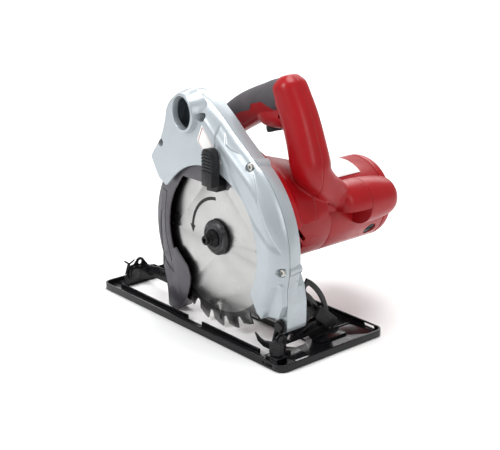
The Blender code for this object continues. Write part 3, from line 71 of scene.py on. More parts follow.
def noise(tree, coordinates, scale, detail=3.0, roughness=0.55):
    made = tree.nodes.new("ShaderNodeTexNoise")
    made.inputs["Scale"].default_value = scale
    made.inputs["Detail"].default_value = detail
    made.inputs["Roughness"].default_value = roughness
    tree.links.new(coordinates, made.inputs["Vector"])
    return made.outputs["Fac"]


def remap(tree, value, low, high, from_low=0.3, from_high=0.7):
    made = tree.nodes.new("ShaderNodeMapRange")
    made.inputs["From Min"].default_value = from_low
    made.inputs["From Max"].default_value = from_high
    made.inputs["To Min"].default_value = low
    made.inputs["To Max"].default_value = high
    tree.links.new(value, made.inputs["Value"])
    return made.outputs["Result"]


def mix_colour(tree, factor, first, second):
    made = tree.nodes.new("ShaderNodeMix")
    made.data_type = "RGBA"
    tree.links.new(factor, made.inputs["Factor"])
    for value, name in ((first, "A"), (second, "B")):
        target = [s for s in made.inputs if s.name == name and s.type == "RGBA"][0]
        if isinstance(value, tuple):
            target.default_value = (*value, 1.0)
        else:
            tree.links.new(value, target)
    return [s for s in made.outputs if s.type == "RGBA"][0]


def bump(tree, height, strength, distance):
    made = tree.nodes.new("ShaderNodeBump")
    made.inputs["Strength"].default_value = strength
    made.inputs["Distance"].default_value = distance
    tree.links.new(height, made.inputs["Height"])
    return made.outputs["Normal"]


def worn_edges(tree):
    """0 on faces, towards 1 on convex edges."""
    geometry = tree.nodes.new("ShaderNodeNewGeometry")
    return remap(tree, geometry.outputs["Pointiness"], 0.0, 1.0, 0.53, 0.60)


def surface(
    name,
    colour,
    shade,
    roughness,
    metallic=0.0,
    grain=900.0,
    grain_depth=0.00004,
    blotch=25.0,
    edge=None,
    edge_share=0.35,
    coat=0.0,
    specular=0.5,
):
    """A moulded, painted or rolled surface: two tones, uneven gloss, a fine grain and worn edges."""
    made = bpy.data.materials.new(name)
    made.use_nodes = True
    tree, nodes, links = socket_links(made)
    shader = nodes["Principled BSDF"]
    place = nodes.new("ShaderNodeTexCoord").outputs["Object"]
    tone = remap(tree, noise(tree, place, blotch), 0.0, 1.0)
    base = mix_colour(tree, tone, colour, shade)
    if edge:
        amount = nodes.new("ShaderNodeMath")
        amount.operation = "MULTIPLY"
        links.new(worn_edges(tree), amount.inputs[0])
        links.new(remap(tree, noise(tree, place, 260.0, 4.0), 0.0, edge_share), amount.inputs[1])
        base = mix_colour(tree, amount.outputs[0], base, edge)
    links.new(base, shader.inputs["Base Color"])
    low, high = roughness
    links.new(remap(tree, noise(tree, place, blotch * 4.0, 4.0), low, high), shader.inputs["Roughness"])
    links.new(bump(tree, noise(tree, place, grain, 2.0), 0.6, grain_depth), shader.inputs["Normal"])
    shader.inputs["Metallic"].default_value = metallic
    shader.inputs["Coat Weight"].default_value = coat
    shader.inputs["Coat Roughness"].default_value = 0.12
    shader.inputs["Specular IOR Level"].default_value = specular
    return made


SILVER = (0.45, 0.50, 0.53)
RED = (0.37, 0.004, 0.008)
MATERIALS = {
    "silver_paint": surface(
        "silver_paint", SILVER, (0.41, 0.455, 0.485), (0.29, 0.38), 0.3, 1400.0, 0.00002, coat=0.35,
        edge=(0.62, 0.66, 0.69), edge_share=0.25,
    ),
    "red_plastic": surface(
        "red_plastic", RED, (0.33, 0.0035, 0.007), (0.28, 0.38), 0.0, 1800.0, 0.00002,
        edge=(0.50, 0.03, 0.03), edge_share=0.2, specular=0.35,
    ),
    "soft_grip": surface(
        "soft_grip", (0.085, 0.075, 0.085), (0.06, 0.055, 0.062), (0.62, 0.78), 0.0, 1500.0, 0.00012,
        edge=(0.14, 0.13, 0.14),
    ),
    "dark_guard": surface(
        "dark_guard", (0.080, 0.074, 0.088), (0.062, 0.058, 0.070), (0.30, 0.42), 0.3, 1500.0, 0.00003,
        edge=(0.22, 0.21, 0.24), coat=0.25,
    ),
    "black_enamel": surface(
        "black_enamel", (0.005, 0.005, 0.006), (0.008, 0.008, 0.009), (0.16, 0.28), 0.0, 700.0, 0.00004,
        edge=(0.04, 0.04, 0.045), coat=0.12, specular=0.22,
    ),
    "black_plastic": surface(
        "black_plastic", (0.009, 0.009, 0.010), (0.014, 0.014, 0.015), (0.34, 0.48), 0.0, 1600.0, 0.00006,
        edge=(0.05, 0.05, 0.055), specular=0.22,
    ),
    "black_steel": surface(
        "black_steel", (0.010, 0.010, 0.011), (0.016, 0.016, 0.017), (0.26, 0.40), 0.2, 1200.0, 0.00003,
        edge=(0.20, 0.20, 0.21), specular=0.25,
    ),
    "zinc_steel": surface(
        "zinc_steel", (0.62, 0.61, 0.56), (0.52, 0.52, 0.50), (0.22, 0.38), 1.0, 900.0, 0.00002,
        edge=(0.8, 0.8, 0.78),
    ),
    "spring_steel": surface(
        "spring_steel", (0.32, 0.32, 0.34), (0.24, 0.24, 0.26), (0.25, 0.4), 1.0, 900.0, 0.00002,
    ),
    "ground_steel": surface(
        "ground_steel", (0.55, 0.55, 0.56), (0.48, 0.48, 0.5), (0.2, 0.34), 1.0, 900.0, 0.00002,
    ),
    "lamination_steel": surface(
        "lamination_steel", (0.30, 0.30, 0.31), (0.22, 0.22, 0.23), (0.4, 0.55), 0.9, 1600.0, 0.00008,
    ),
    "copper": surface("copper", (0.60, 0.28, 0.14), (0.48, 0.2, 0.1), (0.28, 0.42), 1.0, 1100.0, 0.00004),
    "carbon": surface("carbon", (0.03, 0.03, 0.03), (0.045, 0.045, 0.045), (0.6, 0.75), 0.0, 1500.0, 0.00005),
    "black_rubber": surface(
        "black_rubber", (0.018, 0.018, 0.018), (0.026, 0.026, 0.026), (0.6, 0.75), 0.0, 1300.0, 0.00008,
    ),
    "label_white": surface(
        "label_white", (0.90, 0.90, 0.89), (0.86, 0.86, 0.85), (0.34, 0.46), 0.0, 900.0, 0.00002,
    ),
}


def ground_disc(name, centre, colour, rim_colour, rim_radius):
    """Steel ground in circles about an axis along Y, darker beyond a radius."""
    made = surface(name, colour, tuple(c * 0.96 for c in colour), (0.27, 0.33), 1.0, 900.0, 0.00001, 30.0)
    tree, nodes, links = socket_links(made)
    shader = nodes["Principled BSDF"]
    place = nodes.new("ShaderNodeTexCoord").outputs["Object"]
    offset = nodes.new("ShaderNodeVectorMath")
    offset.operation = "SUBTRACT"
    offset.inputs[1].default_value = centre
    links.new(place, offset.inputs[0])
    flat = nodes.new("ShaderNodeVectorMath")
    flat.operation = "MULTIPLY"
    flat.inputs[1].default_value = (1.0, 0.0, 1.0)
    links.new(offset.outputs["Vector"], flat.inputs[0])
    length = nodes.new("ShaderNodeVectorMath")
    length.operation = "LENGTH"
    links.new(flat.outputs["Vector"], length.inputs[0])
    round_way = nodes.new("ShaderNodeVectorMath")
    round_way.operation = "CROSS_PRODUCT"
    round_way.inputs[0].default_value = (0.0, 1.0, 0.0)
    links.new(flat.outputs["Vector"], round_way.inputs[1])
    turned_way = nodes.new("ShaderNodeVectorTransform")
    turned_way.vector_type = "VECTOR"
    turned_way.convert_from, turned_way.convert_to = "OBJECT", "WORLD"
    links.new(round_way.outputs["Vector"], turned_way.inputs["Vector"])
    unit = nodes.new("ShaderNodeVectorMath")
    unit.operation = "NORMALIZE"
    links.new(turned_way.outputs["Vector"], unit.inputs[0])
    links.new(unit.outputs["Vector"], shader.inputs["Tangent"])
    shader.inputs["Anisotropic"].default_value = 0.8
    rim = remap(tree, length.outputs["Value"], 0.0, 1.0, rim_radius - 0.0004, rim_radius + 0.0004)
    grey = shader.inputs["Base Color"].links[0].from_socket
    links.new(mix_colour(tree, rim, grey, rim_colour), shader.inputs["Base Color"])
    rings = noise(tree, place, 300.0)
    wave = nodes.new("ShaderNodeTexNoise")
    wave.noise_dimensions = "1D"
    wave.inputs["Scale"].default_value = 1500.0
    links.new(length.outputs["Value"], wave.inputs["W"])
    blend_height = nodes.new("ShaderNodeMath")
    blend_height.operation = "MULTIPLY_ADD"
    blend_height.inputs[1].default_value = 0.2
    links.new(rings, blend_height.inputs[0])
    links.new(wave.outputs["Fac"], blend_height.inputs[2])
    links.new(bump(tree, blend_height.outputs[0], 0.35, 0.00003), shader.inputs["Normal"])
    return made


BLADE_CENTRE_M = (0.0209, 0.0, 0.1071)
BLADE_RIM_RADIUS_M = 0.0865
MATERIALS["blade_steel"] = ground_disc(
    "blade_steel", BLADE_CENTRE_M, (0.50, 0.50, 0.495), (0.20, 0.20, 0.20), BLADE_RIM_RADIUS_M
)


def dress(obj, slot):
    obj.data.materials.clear()
    obj.data.materials.append(MATERIALS[slot])



# ---------------------------------------------------------------- shapes, in millimetres

SPINDLE = (20.9, 107.1)
MOTOR = (45.154, 122.256)
PIVOT = (128.0, 34.0)
HANDLE_Y = 18.6
SEAM_Z = 136.5
GUARD_SPLIT = -45.0
GUARD_FAR = -27.0
GUARD_WALL = 2.5
MOTOR_ROOM_RADIUS = 49.35
BRUSH_Y = 133.0


def made(name, shape):
    bmesh.ops.recalc_face_normals(shape, faces=shape.faces)
    mesh = bpy.data.meshes.new(name)
    shape.to_mesh(mesh)
    shape.free()
    obj = bpy.data.objects.new(name, mesh)
    bpy.context.scene.collection.objects.link(obj)
    return obj


def settled(obj):
    """Applies an object's modifiers."""
    mesh = bpy.data.meshes.new_from_object(obj.evaluated_get(bpy.context.evaluated_depsgraph_get()))
    obj.modifiers.clear()
    obj.data = mesh
    return obj


def boolean(target, tool, operation):
    modifier = target.modifiers.new("boolean", "BOOLEAN")
    modifier.operation = operation
    modifier.solver = "EXACT"
    modifier.object = tool
    bpy.context.view_layer.update()
    settled(target)
    bpy.data.objects.remove(tool)
    return target


def cut(target, *tools):
    for tool in tools:
        boolean(target, tool, "DIFFERENCE")
    return target


def join(target, *tools):
    for tool in tools:
        boolean(target, tool, "UNION")
    return target


def keep(target, tool):
    return boolean(target, tool, "INTERSECT")


def loft(name, rings):
    shape = bmesh.new()
    rows = [[shape.verts.new(point) for point in ring] for ring in rings]
    for first, second in zip(rows, rows[1:]):
        for i in range(len(first)):
            j = (i + 1) % len(first)
            shape.faces.new((first[i], first[j], second[j], second[i]))
    shape.faces.new(rows[0])
    shape.faces.new(rows[-1])
    return made(name, shape)


def on_axis(axis, u, v, w):
    """A point whose in-plane place is (u, v) and whose place along the axis is w."""
    return {"x": (w, u, v), "y": (u, w, v), "z": (u, v, w)}[axis]


def prism(name, outline, start, end, axis="y"):
    return loft(name, [[on_axis(axis, u, v, w) for u, v in outline] for w in (start, end)])


def box(name, low, high):
    outline = [(low[0], low[2]), (high[0], low[2]), (high[0], high[2]), (low[0], high[2])]
    return prism(name, outline, low[1], high[1])


def around(centre, radius, angle):
    turn = math.radians(angle)
    return (centre[0] + radius * math.cos(turn), centre[1] + radius * math.sin(turn))


def arc(centre, radius, start, end, steps):
    return [around(centre, radius, start + (end - start) * i / steps) for i in range(steps + 1)]


def turned(name, centre, profile, steps=96, axis="y"):
    rings = []
    for radius, at in profile:
        ring = [around(centre, radius, 360.0 * k / steps) for k in range(steps)]
        rings.append([on_axis(axis, u, v, at) for u, v in ring])
    return loft(name, rings)


def hull(name, points):
    shape = bmesh.new()
    for point in points:
        shape.verts.new(point)
    found = bmesh.ops.convex_hull(shape, input=shape.verts)
    inside = [item for item in found["geom_interior"] if isinstance(item, bmesh.types.BMVert)]
    bmesh.ops.delete(shape, geom=inside, context="VERTS")
    return made(name, shape)


def spline(points, per=5):
    """Points along a smooth line through the given ones, which may have any number of coordinates."""
    dense = []
    last = len(points) - 1
    for i in range(last):
        a, b, c, d = points[max(i - 1, 0)], points[i], points[i + 1], points[min(i + 2, last)]
        for k in range(per):
            t = k / per
            dense.append(tuple(
                0.5 * (2 * q + (r - p) * t + (2 * p - 5 * q + 4 * r - s) * t * t
                       + (3 * q - p - 3 * r + s) * t ** 3)
                for p, q, r, s in zip(a, b, c, d)
            ))
    dense.append(tuple(points[-1]))
    return dense


def swept(name, stations, steps=48, per=5, square=1.0):
    """A tube with oval sections. A station is (x, y, z, half size in the XZ plane, half width along Y)."""
    line = spline(stations, per)
    rings = []
    for i, (x, y, z, tall, wide) in enumerate(line):
        before, after = line[max(i - 1, 0)], line[min(i + 1, len(line) - 1)]
        along = (Vector(after[:3]) - Vector(before[:3])).normalized()
        across = Vector((0.0, 1.0, 0.0))
        across = (across - along * across.dot(along)).normalized()
        up = along.cross(across)
        ring = []
        for k in range(steps):
            turn = 2 * math.pi * k / steps
            u = math.copysign(abs(math.cos(turn)) ** square, math.cos(turn))
            v = math.copysign(abs(math.sin(turn)) ** square, math.sin(turn))
            ring.append(Vector((x, y, z)) + across * wide * u + up * tall * v)
        rings.append(ring)
    return loft(name, rings)


def fused(name, pieces, voxel, rounds):
    """One skin round overlapping solids, with its creases softened into fillets."""
    shape = bmesh.new()
    for piece in pieces:
        shape.from_mesh(piece.data)
        bpy.data.objects.remove(piece)
    mesh = bpy.data.meshes.new(name)
    shape.to_mesh(mesh)
    shape.free()
    obj = bpy.data.objects.new(name, mesh)
    bpy.context.scene.collection.objects.link(obj)
    remesh = obj.modifiers.new("skin", "REMESH")
    remesh.mode = "VOXEL"
    remesh.voxel_size = voxel
    smooth = obj.modifiers.new("fillets", "SMOOTH")
    smooth.factor = 0.5
    smooth.iterations = rounds
    bpy.context.view_layer.update()
    return settled(obj)


def shaded(obj, angle):
    obj.data.shade_smooth()
    obj.data.set_sharp_from_angle(angle=math.radians(angle))
    return obj


def hand_in(obj, body, slot, replaced=(), angle=38.0):
    """Scales a piece made in millimetres to metres and gives it its finish and its CAD body."""
    obj.data.transform(Matrix.Scale(MM, 4))
    shaded(obj, angle)
    dress(obj, slot)
    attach(obj, body)
    if replaced:
        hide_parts(*replaced)
    return obj


def cad_copy(node, name):
    """A CAD node's shape in millimetres, welded, to work on."""
    shape = bmesh.new()
    shape.from_mesh(NODES[node].data)
    bmesh.ops.scale(shape, vec=(1000.0, 1000.0, 1000.0), verts=shape.verts)
    bmesh.ops.remove_doubles(shape, verts=shape.verts, dist=0.002)
    return made(name, shape)


# ---------------------------------------------------------------- handle

GRIP_LINE = (
    (10.0, HANDLE_Y, 138.0, 13.0, 14.0),
    (-10.0, HANDLE_Y, 152.0, 13.5, 14.5),
    (-32.0, HANDLE_Y, 168.0, 14.0, 15.0),
    (-46.0, HANDLE_Y, 184.0, 15.0, 15.5),
    (-46.0, HANDLE_Y, 201.0, 17.0, 16.0),
    (-33.0, HANDLE_Y, 217.5, 18.5, 16.5),
    (-15.0, HANDLE_Y, 230.5, 19.5, 17.0),
    (3.0, HANDLE_Y, 241.0, 20.0, 17.0),
    (20.0, HANDLE_Y, 249.5, 19.5, 17.5),
    (37.0, HANDLE_Y, 257.0, 19.0, 18.0),
    (56.0, HANDLE_Y, 264.5, 19.0, 18.0),
    (70.0, HANDLE_Y, 268.0, 15.0, 16.0),
)
COLUMN_LINE = (
    (62.3, HANDLE_Y, 288.0, 3.0, 4.0),
    (62.8, HANDLE_Y, 286.8, 8.5, 9.0),
    (64.6, HANDLE_Y, 283.4, 13.2, 13.8),
    (67.5, HANDLE_Y, 277.0, 17.0, 18.0),
    (74.0, HANDLE_Y, 264.0, 18.3, 19.0),
    (84.0, HANDLE_Y, 246.0, 18.7, 19.5),
    (92.0, HANDLE_Y, 227.0, 19.0, 20.0),
    (97.5, HANDLE_Y, 211.0, 19.7, 20.5),
    (101.5, HANDLE_Y, 198.0, 20.2, 21.0),
    (103.0, 20.5, 188.0, 19.5, 20.5),
    (103.5, 27.0, 179.0, 18.0, 18.5),
    (102.5, 38.0, 170.0, 16.5, 17.0),
    (100.0, 52.0, 161.0, 16.0, 16.0),
    (98.5, 64.0, 152.0, 15.0, 15.0),
)
TRIGGER_CHEEKS = (
    (27.0, HANDLE_Y, 243.0, 5.0, 10.0),
    (32.0, HANDLE_Y, 241.4, 11.4, 13.6),
    (39.0, HANDLE_Y, 240.6, 13.4, 15.2),
    (50.0, HANDLE_Y, 241.0, 13.6, 15.6),
    (62.0, HANDLE_Y, 242.0, 13.4, 15.6),
    (74.0, HANDLE_Y, 244.0, 10.0, 14.0),
)
AUX = (98.6, 139.0)
AUX_STATIONS = (
    (57.0, 8.0, 8.5, 2.2),
    (59.0, 15.5, 16.5, 2.2),
    (63.0, 21.0, 22.0, 2.1),
    (69.0, 24.0, 24.6, 1.8),
    (80.0, 25.4, 26.0, 0.8),
    (95.0, 26.0, 26.7, 0.0),
    (115.0, 25.6, 25.8, -0.7),
    (132.0, 24.4, 23.6, -1.4),
    (140.0, 22.0, 21.4, -1.5),
    (144.5, 17.5, 17.0, -1.5),
    (146.7, 8.0, 8.0, -1.5),
)
GRIP_SKIN = 0.35
COLUMN_SQUARE = 0.78
SEAM_DEPTH = 0.35


def aux_handle(name):
    line = spline(AUX_STATIONS, 5)
    rings = []
    for y, half_x, half_z, lift in line:
        turns = [2 * math.pi * k / 56 for k in range(56)]
        middle_z = AUX[1] + lift
        rings.append([(AUX[0] + half_x * math.cos(t), y, middle_z + half_z * math.sin(t)) for t in turns])
    return loft(name, rings)


def skirt():
    points = []
    for y, radius in ((GUARD_FAR + 0.3, 107.4), (-25.0, 109.0), (-12.0, 106.0), (-6.0, 101.0)):
        points += [(x, y, z) for x, z in arc(SPINDLE, radius, 12.0, 74.0, 40)]
        points += [(SPINDLE[0] - 30.0, y, z) for z in (SEAM_Z + 10, SEAM_Z - 8)] + [(112.0, y, SEAM_Z - 8)]
    return hull("skirt", points)


def saddle():
    points = [(x, -8.0, z) for x, z in arc(SPINDLE, 100.0, 14.0, 72.0, 30)]
    points += [(x, 38.0, z) for x, z in arc((60.0, 135.0), 53.0, 0.0, 160.0, 50)]
    points += [(x, -8.0, SEAM_Z - 9) for x in (2.0, 106.0)]
    points += [(x, 38.0, SEAM_Z - 9) for x in (4.0, 110.0)]
    return hull("saddle", points)


def aux_bridge():
    points = []
    for y, top in ((52.0, 163.0), (88.0, 160.0)):
        points += [(x, y, z) for x in (82.0, 104.0) for z in (SEAM_Z - 6, top)]
    points += [(x, 17.0, z) for x in (72.0, 103.0) for z in (SEAM_Z - 6, 176.0)]
    return hull("aux_bridge", points)


def case_room():
    first = arc(SPINDLE, 30.5, 117.0, 307.0, 24)
    second = arc(MOTOR, 36.5, -48.0, 112.0, 24)
    return prism("case_room", first + second, -50.0, -7.0)


def motor_room():
    return turned("motor_room", MOTOR, [(MOTOR_ROOM_RADIUS, -8.1), (MOTOR_ROOM_RADIUS, 170.0)], 96)


def rolled_seam(obj, level):
    """Rounds the rim of a shell where it was parted across Y."""
    shape = bmesh.new()
    shape.from_mesh(obj.data)
    parted = [f for f in shape.faces if all(abs(v.co.y - level) < 0.01 for v in f.verts)]
    bmesh.ops.triangulate(shape, faces=parted)
    for vertex in [v for v in shape.verts if abs(v.co.y - level) < 0.01]:
        sides = [f.normal for f in vertex.link_faces if abs(f.normal.y) < 0.9]
        outward = sum(sides, Vector())
        outward.y = 0.0
        if outward.length > 0.05:
            vertex.co -= outward.normalized() * SEAM_DEPTH
    shape.to_mesh(obj.data)
    shape.free()


def handle_rooms(shell):
    cut(shell, box("below_seam", (-200.0, -100.0, 0.0), (300.0, 300.0, SEAM_Z)))
    cut(shell, motor_room(), case_room())
    rooms = box("switch_room", (13.6, 8.4, 239.3), (44.0, 28.9, 258.3))
    join(rooms, box("trigger_room", (33.4, 10.9, 214.0), (63.7, 26.3, 246.7)))
    cut(shell, rooms)
    cut(shell, box("lock_room", (66.0, 2.8, 243.4), (76.6, 60.0, 254.0)))
    bore = Vector((-49.0, HANDLE_Y, 186.0))
    out = Vector((-0.9, 0.0, -0.44)).normalized()
    ends = [bore + out * reach for reach in (-2.0, 30.0)]
    cut(shell, swept("gland_room", [(e.x, e.y, e.z, 8.4, 8.4) for e in ends], 40, 2))
    return shell


def handle():
    """The moulded handle with soft fillets, parted along its middle and at the auxiliary handle."""
    solids = [swept("grip", GRIP_LINE), swept("column", COLUMN_LINE, 64, 5, COLUMN_SQUARE)]
    solids.append(swept("cheeks", TRIGGER_CHEEKS))
    solids += [skirt(), saddle(), aux_bridge(), aux_handle("aux")]
    whole = fused("handle_whole", solids, 1.0, 14)
    end = whole.copy()
    end.data = whole.data.copy()
    bpy.context.scene.collection.objects.link(end)
    cut(whole, box("aux_part", (-200.0, 94.85, -50.0), (300.0, 300.0, 400.0)))
    cut(end, box("not_aux", (-200.0, -100.0, -50.0), (300.0, 95.15, 400.0)))
    end.name = "aux_handle_end_shell"
    rolled_seam(end, 95.15)
    cut(end, turned("aux_room", MOTOR, [(MOTOR_ROOM_RADIUS, 50.0), (MOTOR_ROOM_RADIUS, 170.0)], 96))
    hand_in(end, "head", "red_plastic", ("aux_handle_end",), 50.0)
    handle_rooms(whole)
    far = whole.copy()
    far.data = whole.data.copy()
    bpy.context.scene.collection.objects.link(far)
    cut(whole, box("far_part", (-300.0, 18.45, -50.0), (400.0, 400.0, 500.0)))
    cut(far, box("near_part", (-300.0, -400.0, -50.0), (400.0, 18.75, 500.0)))
    rolled_seam(whole, 18.45)
    rolled_seam(far, 18.75)
    rolled_seam(far, 94.85)
    whole.name = "handle_near_shell"
    far.name = "handle_far_shell"
    hand_in(whole, "head", "red_plastic", ("handle_near",), 50.0)
    hand_in(far, "head", "red_plastic", ("handle_far",), 50.0)


def soft_grip():
    """The rubber skin over the top of the grip, up to the column."""
    outset = [(x, y, z, tall + GRIP_SKIN, wide + GRIP_SKIN) for x, y, z, tall, wide in GRIP_LINE]
    inset = [(x, y, z, tall - 1.2, wide - 1.2) for x, y, z, tall, wide in GRIP_LINE]
    skin = swept("soft_grip_skin", outset, 96, 8)
    edge = [
        (-70.0, 212.0), (-30.0, 218.0), (-12.0, 236.0), (-4.0, 236.0), (8.0, 241.0), (21.0, 245.0),
        (25.0, 253.0), (42.0, 258.0), (52.0, 254.0), (62.0, 247.0), (66.5, 246.0), (64.0, 262.0),
        (58.0, 300.0), (-70.0, 300.0),
    ]
    keep(skin, prism("grip_region", edge, -40.0, 80.0))
    cut(skin, swept("grip_inside", inset, 96, 8))
    column = [(x, y, z, tall - 0.8, wide - 0.8) for x, y, z, tall, wide in COLUMN_LINE]
    cut(skin, swept("grip_column", column, 64, 5, COLUMN_SQUARE))
    hand_in(skin, "head", "soft_grip", ("soft_grip",), 45.0)


# ---------------------------------------------------------------- upper guard


def guard_path(inset):
    """The outer line of the upper guard from front foot to rear lobe, moved in by inset times a share."""
    path = [(*p, 1.0) for p in arc(SPINDLE, 119.5, -29.0, 58.0, 8)]
    path += [(56.0, 228.5, 0.9), (29.0, 249.5, 0.75), (6.0, 263.0, 0.6), (-17.0, 268.5, 0.5)]
    path += [(-38.0, 264.0, 0.4), (-52.0, 249.0, 0.35), (-57.0, 229.0, 0.3), (-66.0, 210.0, 0.35)]
    path += [(-86.0, 186.0, 0.5), (-80.0, 172.0, 0.4), (-67.0, 158.0, 0.2)]
    dense = spline(path, 6)
    points = []
    for i, (x, z, share) in enumerate(dense):
        before, after = dense[max(i - 1, 0)], dense[min(i + 1, len(dense) - 1)]
        along = Vector((after[0] - before[0], after[1] - before[1])).normalized()
        points.append((x - along.y * inset * share, z + along.x * inset * share))
    return points


def arch_path(radius):
    path = [around(SPINDLE, radius + 2.0, 147.0)] + arc(SPINDLE, radius, 140.0, -30.0, 80)
    return path + [(105.0, 46.0), (113.0, 41.0)]


def guard_shell(name, levels, radius):
    rings = [[(x, y, z) for x, z in guard_path(inset) + arch_path(radius)] for y, inset in spline(levels, 3)]
    return loft(name, rings)


def guard_inside(name, levels):
    rings = []
    for y, inset in spline(levels, 3):
        ring = guard_path(inset + GUARD_WALL)[:-6] + [(-75.0, 148.0)]
        ring += [around(SPINDLE, 58.0, a) for a in (165.0, 60.0, -46.0)]
        rings.append([(x, y, z) for x, z in ring])
    return loft(name, rings)


def port_ring(distance, radius, steps=72):
    """A ring round the dust port's axis, which leans a little to the rear."""
    lean = math.radians(7.0)
    out = Vector((-math.sin(lean), -math.cos(lean), 0.0))
    side = Vector((math.cos(lean), -math.sin(lean), 0.0))
    centre = Vector((-13.0, -67.4, 246.0)) - out * distance
    turns = [2 * math.pi * k / steps for k in range(steps)]
    return [centre + side * radius * math.cos(t) + Vector((0, 0, 1)) * radius * math.sin(t) for t in turns]


COVER_SCREWS = ((14.0, 245.0), (84.0, 202.8), (135.4, 98.5), (-60.0, 203.5))
LEG = [(112.0, 43.0), (118.0, 43.0), (131.5, 45.0), (137.0, 60.0), (136.0, 84.0), (124.0, 88.0)]


def guard_sweep(name):
    return turned(name, SPINDLE, [(102.9, -57.5), (102.9, -53.6), (111.4, -44.2), (112.6, -33.4)], 144)


def side_of(line, x, z):
    """The signed distance from a polyline, positive on its left."""
    best = 1e9
    signed = 0.0
    for (ax, az), (bx, bz) in zip(line, line[1:]):
        dx, dz = bx - ax, bz - az
        share = max(0.0, min(1.0, ((x - ax) * dx + (z - az) * dz) / (dx * dx + dz * dz)))
        px, pz = x - ax - dx * share, z - az - dz * share
        reach = math.hypot(px, pz)
        if reach < best:
            best = reach
            signed = reach if dx * pz - dz * px > 0 else -reach
    return signed


def step(value, low, high):
    t = max(0.0, min(1.0, (value - low) / (high - low)))
    return t * t * (3 - 2 * t)


CREST = [
    (43.0, 252.0), (43.5, 244.0), (46.0, 232.0), (51.0, 222.0), (58.0, 218.0), (70.0, 215.0), (81.0, 208.5),
    (91.0, 199.0), (100.0, 184.0), (108.0, 168.0), (118.0, 149.0), (130.0, 129.0), (142.0, 112.0),
]
VALLEY = [
    (38.0, 214.0), (50.0, 203.0), (62.0, 187.0), (80.0, 163.0), (100.0, 141.0), (120.0, 125.0),
    (142.0, 112.0),
]
PORT_LIP = [(0.0, 20.8), (0.8, 21.8), (4.0, 22.4), (8.0, 23.2), (12.0, 24.4), (19.0, 26.5)]
PORT_BORE = [(-6.0, 19.6), (0.0, 18.9), (1.5, 18.3), (30.0, 17.8)]


def carve_cover(cover):
    """The front arm's crest, the hollow facet inside it, and the step at its foot."""
    for vertex in cover.data.vertices:
        x, y, z = vertex.co
        if y > -51.0 or x < 36.0:
            continue
        face = step(-y, 51.0, 57.0)
        crest = side_of(CREST, x, z)
        valley = side_of(VALLEY, x, z)
        hollow = step(-crest, 0.0, 2.2) * step(valley, 0.0, 5.0) * step(z, 108.0, 122.0)
        top = step(-crest, 0.0, 2.2) * step(z, 214.0, 222.0) * step(x, 40.0, 43.0)
        foot = step(x, 124.0, 130.0) * step(-z, -81.0, -79.0)
        raised = step(crest, -0.5, 5.0) * step(z, 79.0, 81.0)
        vertex.co.y += face * (1.5 * hollow - 0.7 * raised * (1.0 - top) + 1.0 * foot)


def guard_cover():
    levels = [(-61.4, 17.5), (-59.6, 12.8), (-54.5, 6.6), (-49.5, 2.4), (-44.0, 0.2)]
    outer = guard_shell("cover_outer", levels, 84.0)
    port = loft("port", [port_ring(d, r) for d, r in spline(PORT_LIP, 4)])
    leg = prism("leg", LEG, -54.0, -44.0)
    cover = fused("guard_cover_shell", [outer, port, leg], 0.9, 8)
    carve_cover(cover)
    cut(cover, box("cover_trim", (-120.0, -45.15, -20.0), (200.0, 60.0, 320.0)))
    inner = [(-58.9, 17.5), (-56.8, 12.8), (-52.6, 6.6), (-48.6, 2.4), (-40.0, 0.2)]
    inside = guard_inside("cover_inside", inner)
    for i, (x, z) in enumerate(COVER_SCREWS):
        cut(inside, turned(f"boss_room_{i}", (x, z), [(7.4, -62.0), (7.4, -38.0)], 32))
    cut(cover, inside)
    cut(cover, loft("port_bore", [port_ring(d, r) for d, r in PORT_BORE]))
    cut(cover, guard_sweep("cover_sweep"))
    for i, (x, z) in enumerate(COVER_SCREWS):
        cut(cover, turned(f"recess_{i}", (x, z), [(5.4, -80.0), (5.0, -57.0), (5.0, -49.5)], 40))
    hand_in(cover, "head", "silver_paint", ("upper_guard_cover",), 46.0)


def guard_body():
    levels = [(-44.85, 0.2), (-38.0, 0.8), (GUARD_FAR, 3.5)]
    body = guard_shell("guard_body_shell", levels, 112.0)
    wall = guard_path(4.0)[:-1]
    wall += [(-52.0, 140.0), (-36.0, 112.0), (-18.0, 84.0), (20.0, 70.0), (60.0, 68.0), (100.0, 52.0)]
    join(body, prism("far_wall", wall, GUARD_FAR - GUARD_WALL, GUARD_FAR))
    cut(body, guard_inside("body_inside", [(-60.0, 0.2), (-38.0, 0.8), (GUARD_FAR - GUARD_WALL, 3.2)]))
    for i, (x, z) in enumerate(COVER_SCREWS):
        join(body, turned(f"body_boss_{i}", (x, z), [(6.6, -44.85), (5.2, GUARD_FAR - 0.5)], 32))
    lug = [(113.5, 56.0), (113.5, 42.0)] + arc(PIVOT, 8.4, 165.0, 360.0, 28)
    lug += [(136.4, 58.0), (133.0, 76.0), (126.0, 90.0)]
    join(body, prism("front_lug", lug, -44.85, -17.0))
    join(body, prism("front_leg", LEG, -44.85, -30.0))
    cut(body, guard_sweep("body_sweep"))
    cut(body, turned("lug_bore", PIVOT, [(4.3, -60.0), (4.3, 0.0)], 40))
    cut(body, turned("nose_hole", SPINDLE, [(17.0, -40.0), (17.0, -20.0)], 64))
    cut(body, turned("bolt_hole", (-60.0, 166.0), [(3.3, -40.0), (3.3, -20.0)], 24))
    cut(body, turned("pinion_hole", MOTOR, [(9.0, -40.0), (9.0, -20.0)], 32))
    hand_in(body, "head", "silver_paint", ("upper_guard_body",), 40.0)


def shrunk(outline, share):
    """An outline drawn in towards the mean of its corners."""
    x_mean = sum(p[0] for p in outline) / len(outline)
    z_mean = sum(p[1] for p in outline) / len(outline)
    return [(x_mean + (x - x_mean) * share, z_mean + (z - z_mean) * share) for x, z in outline]


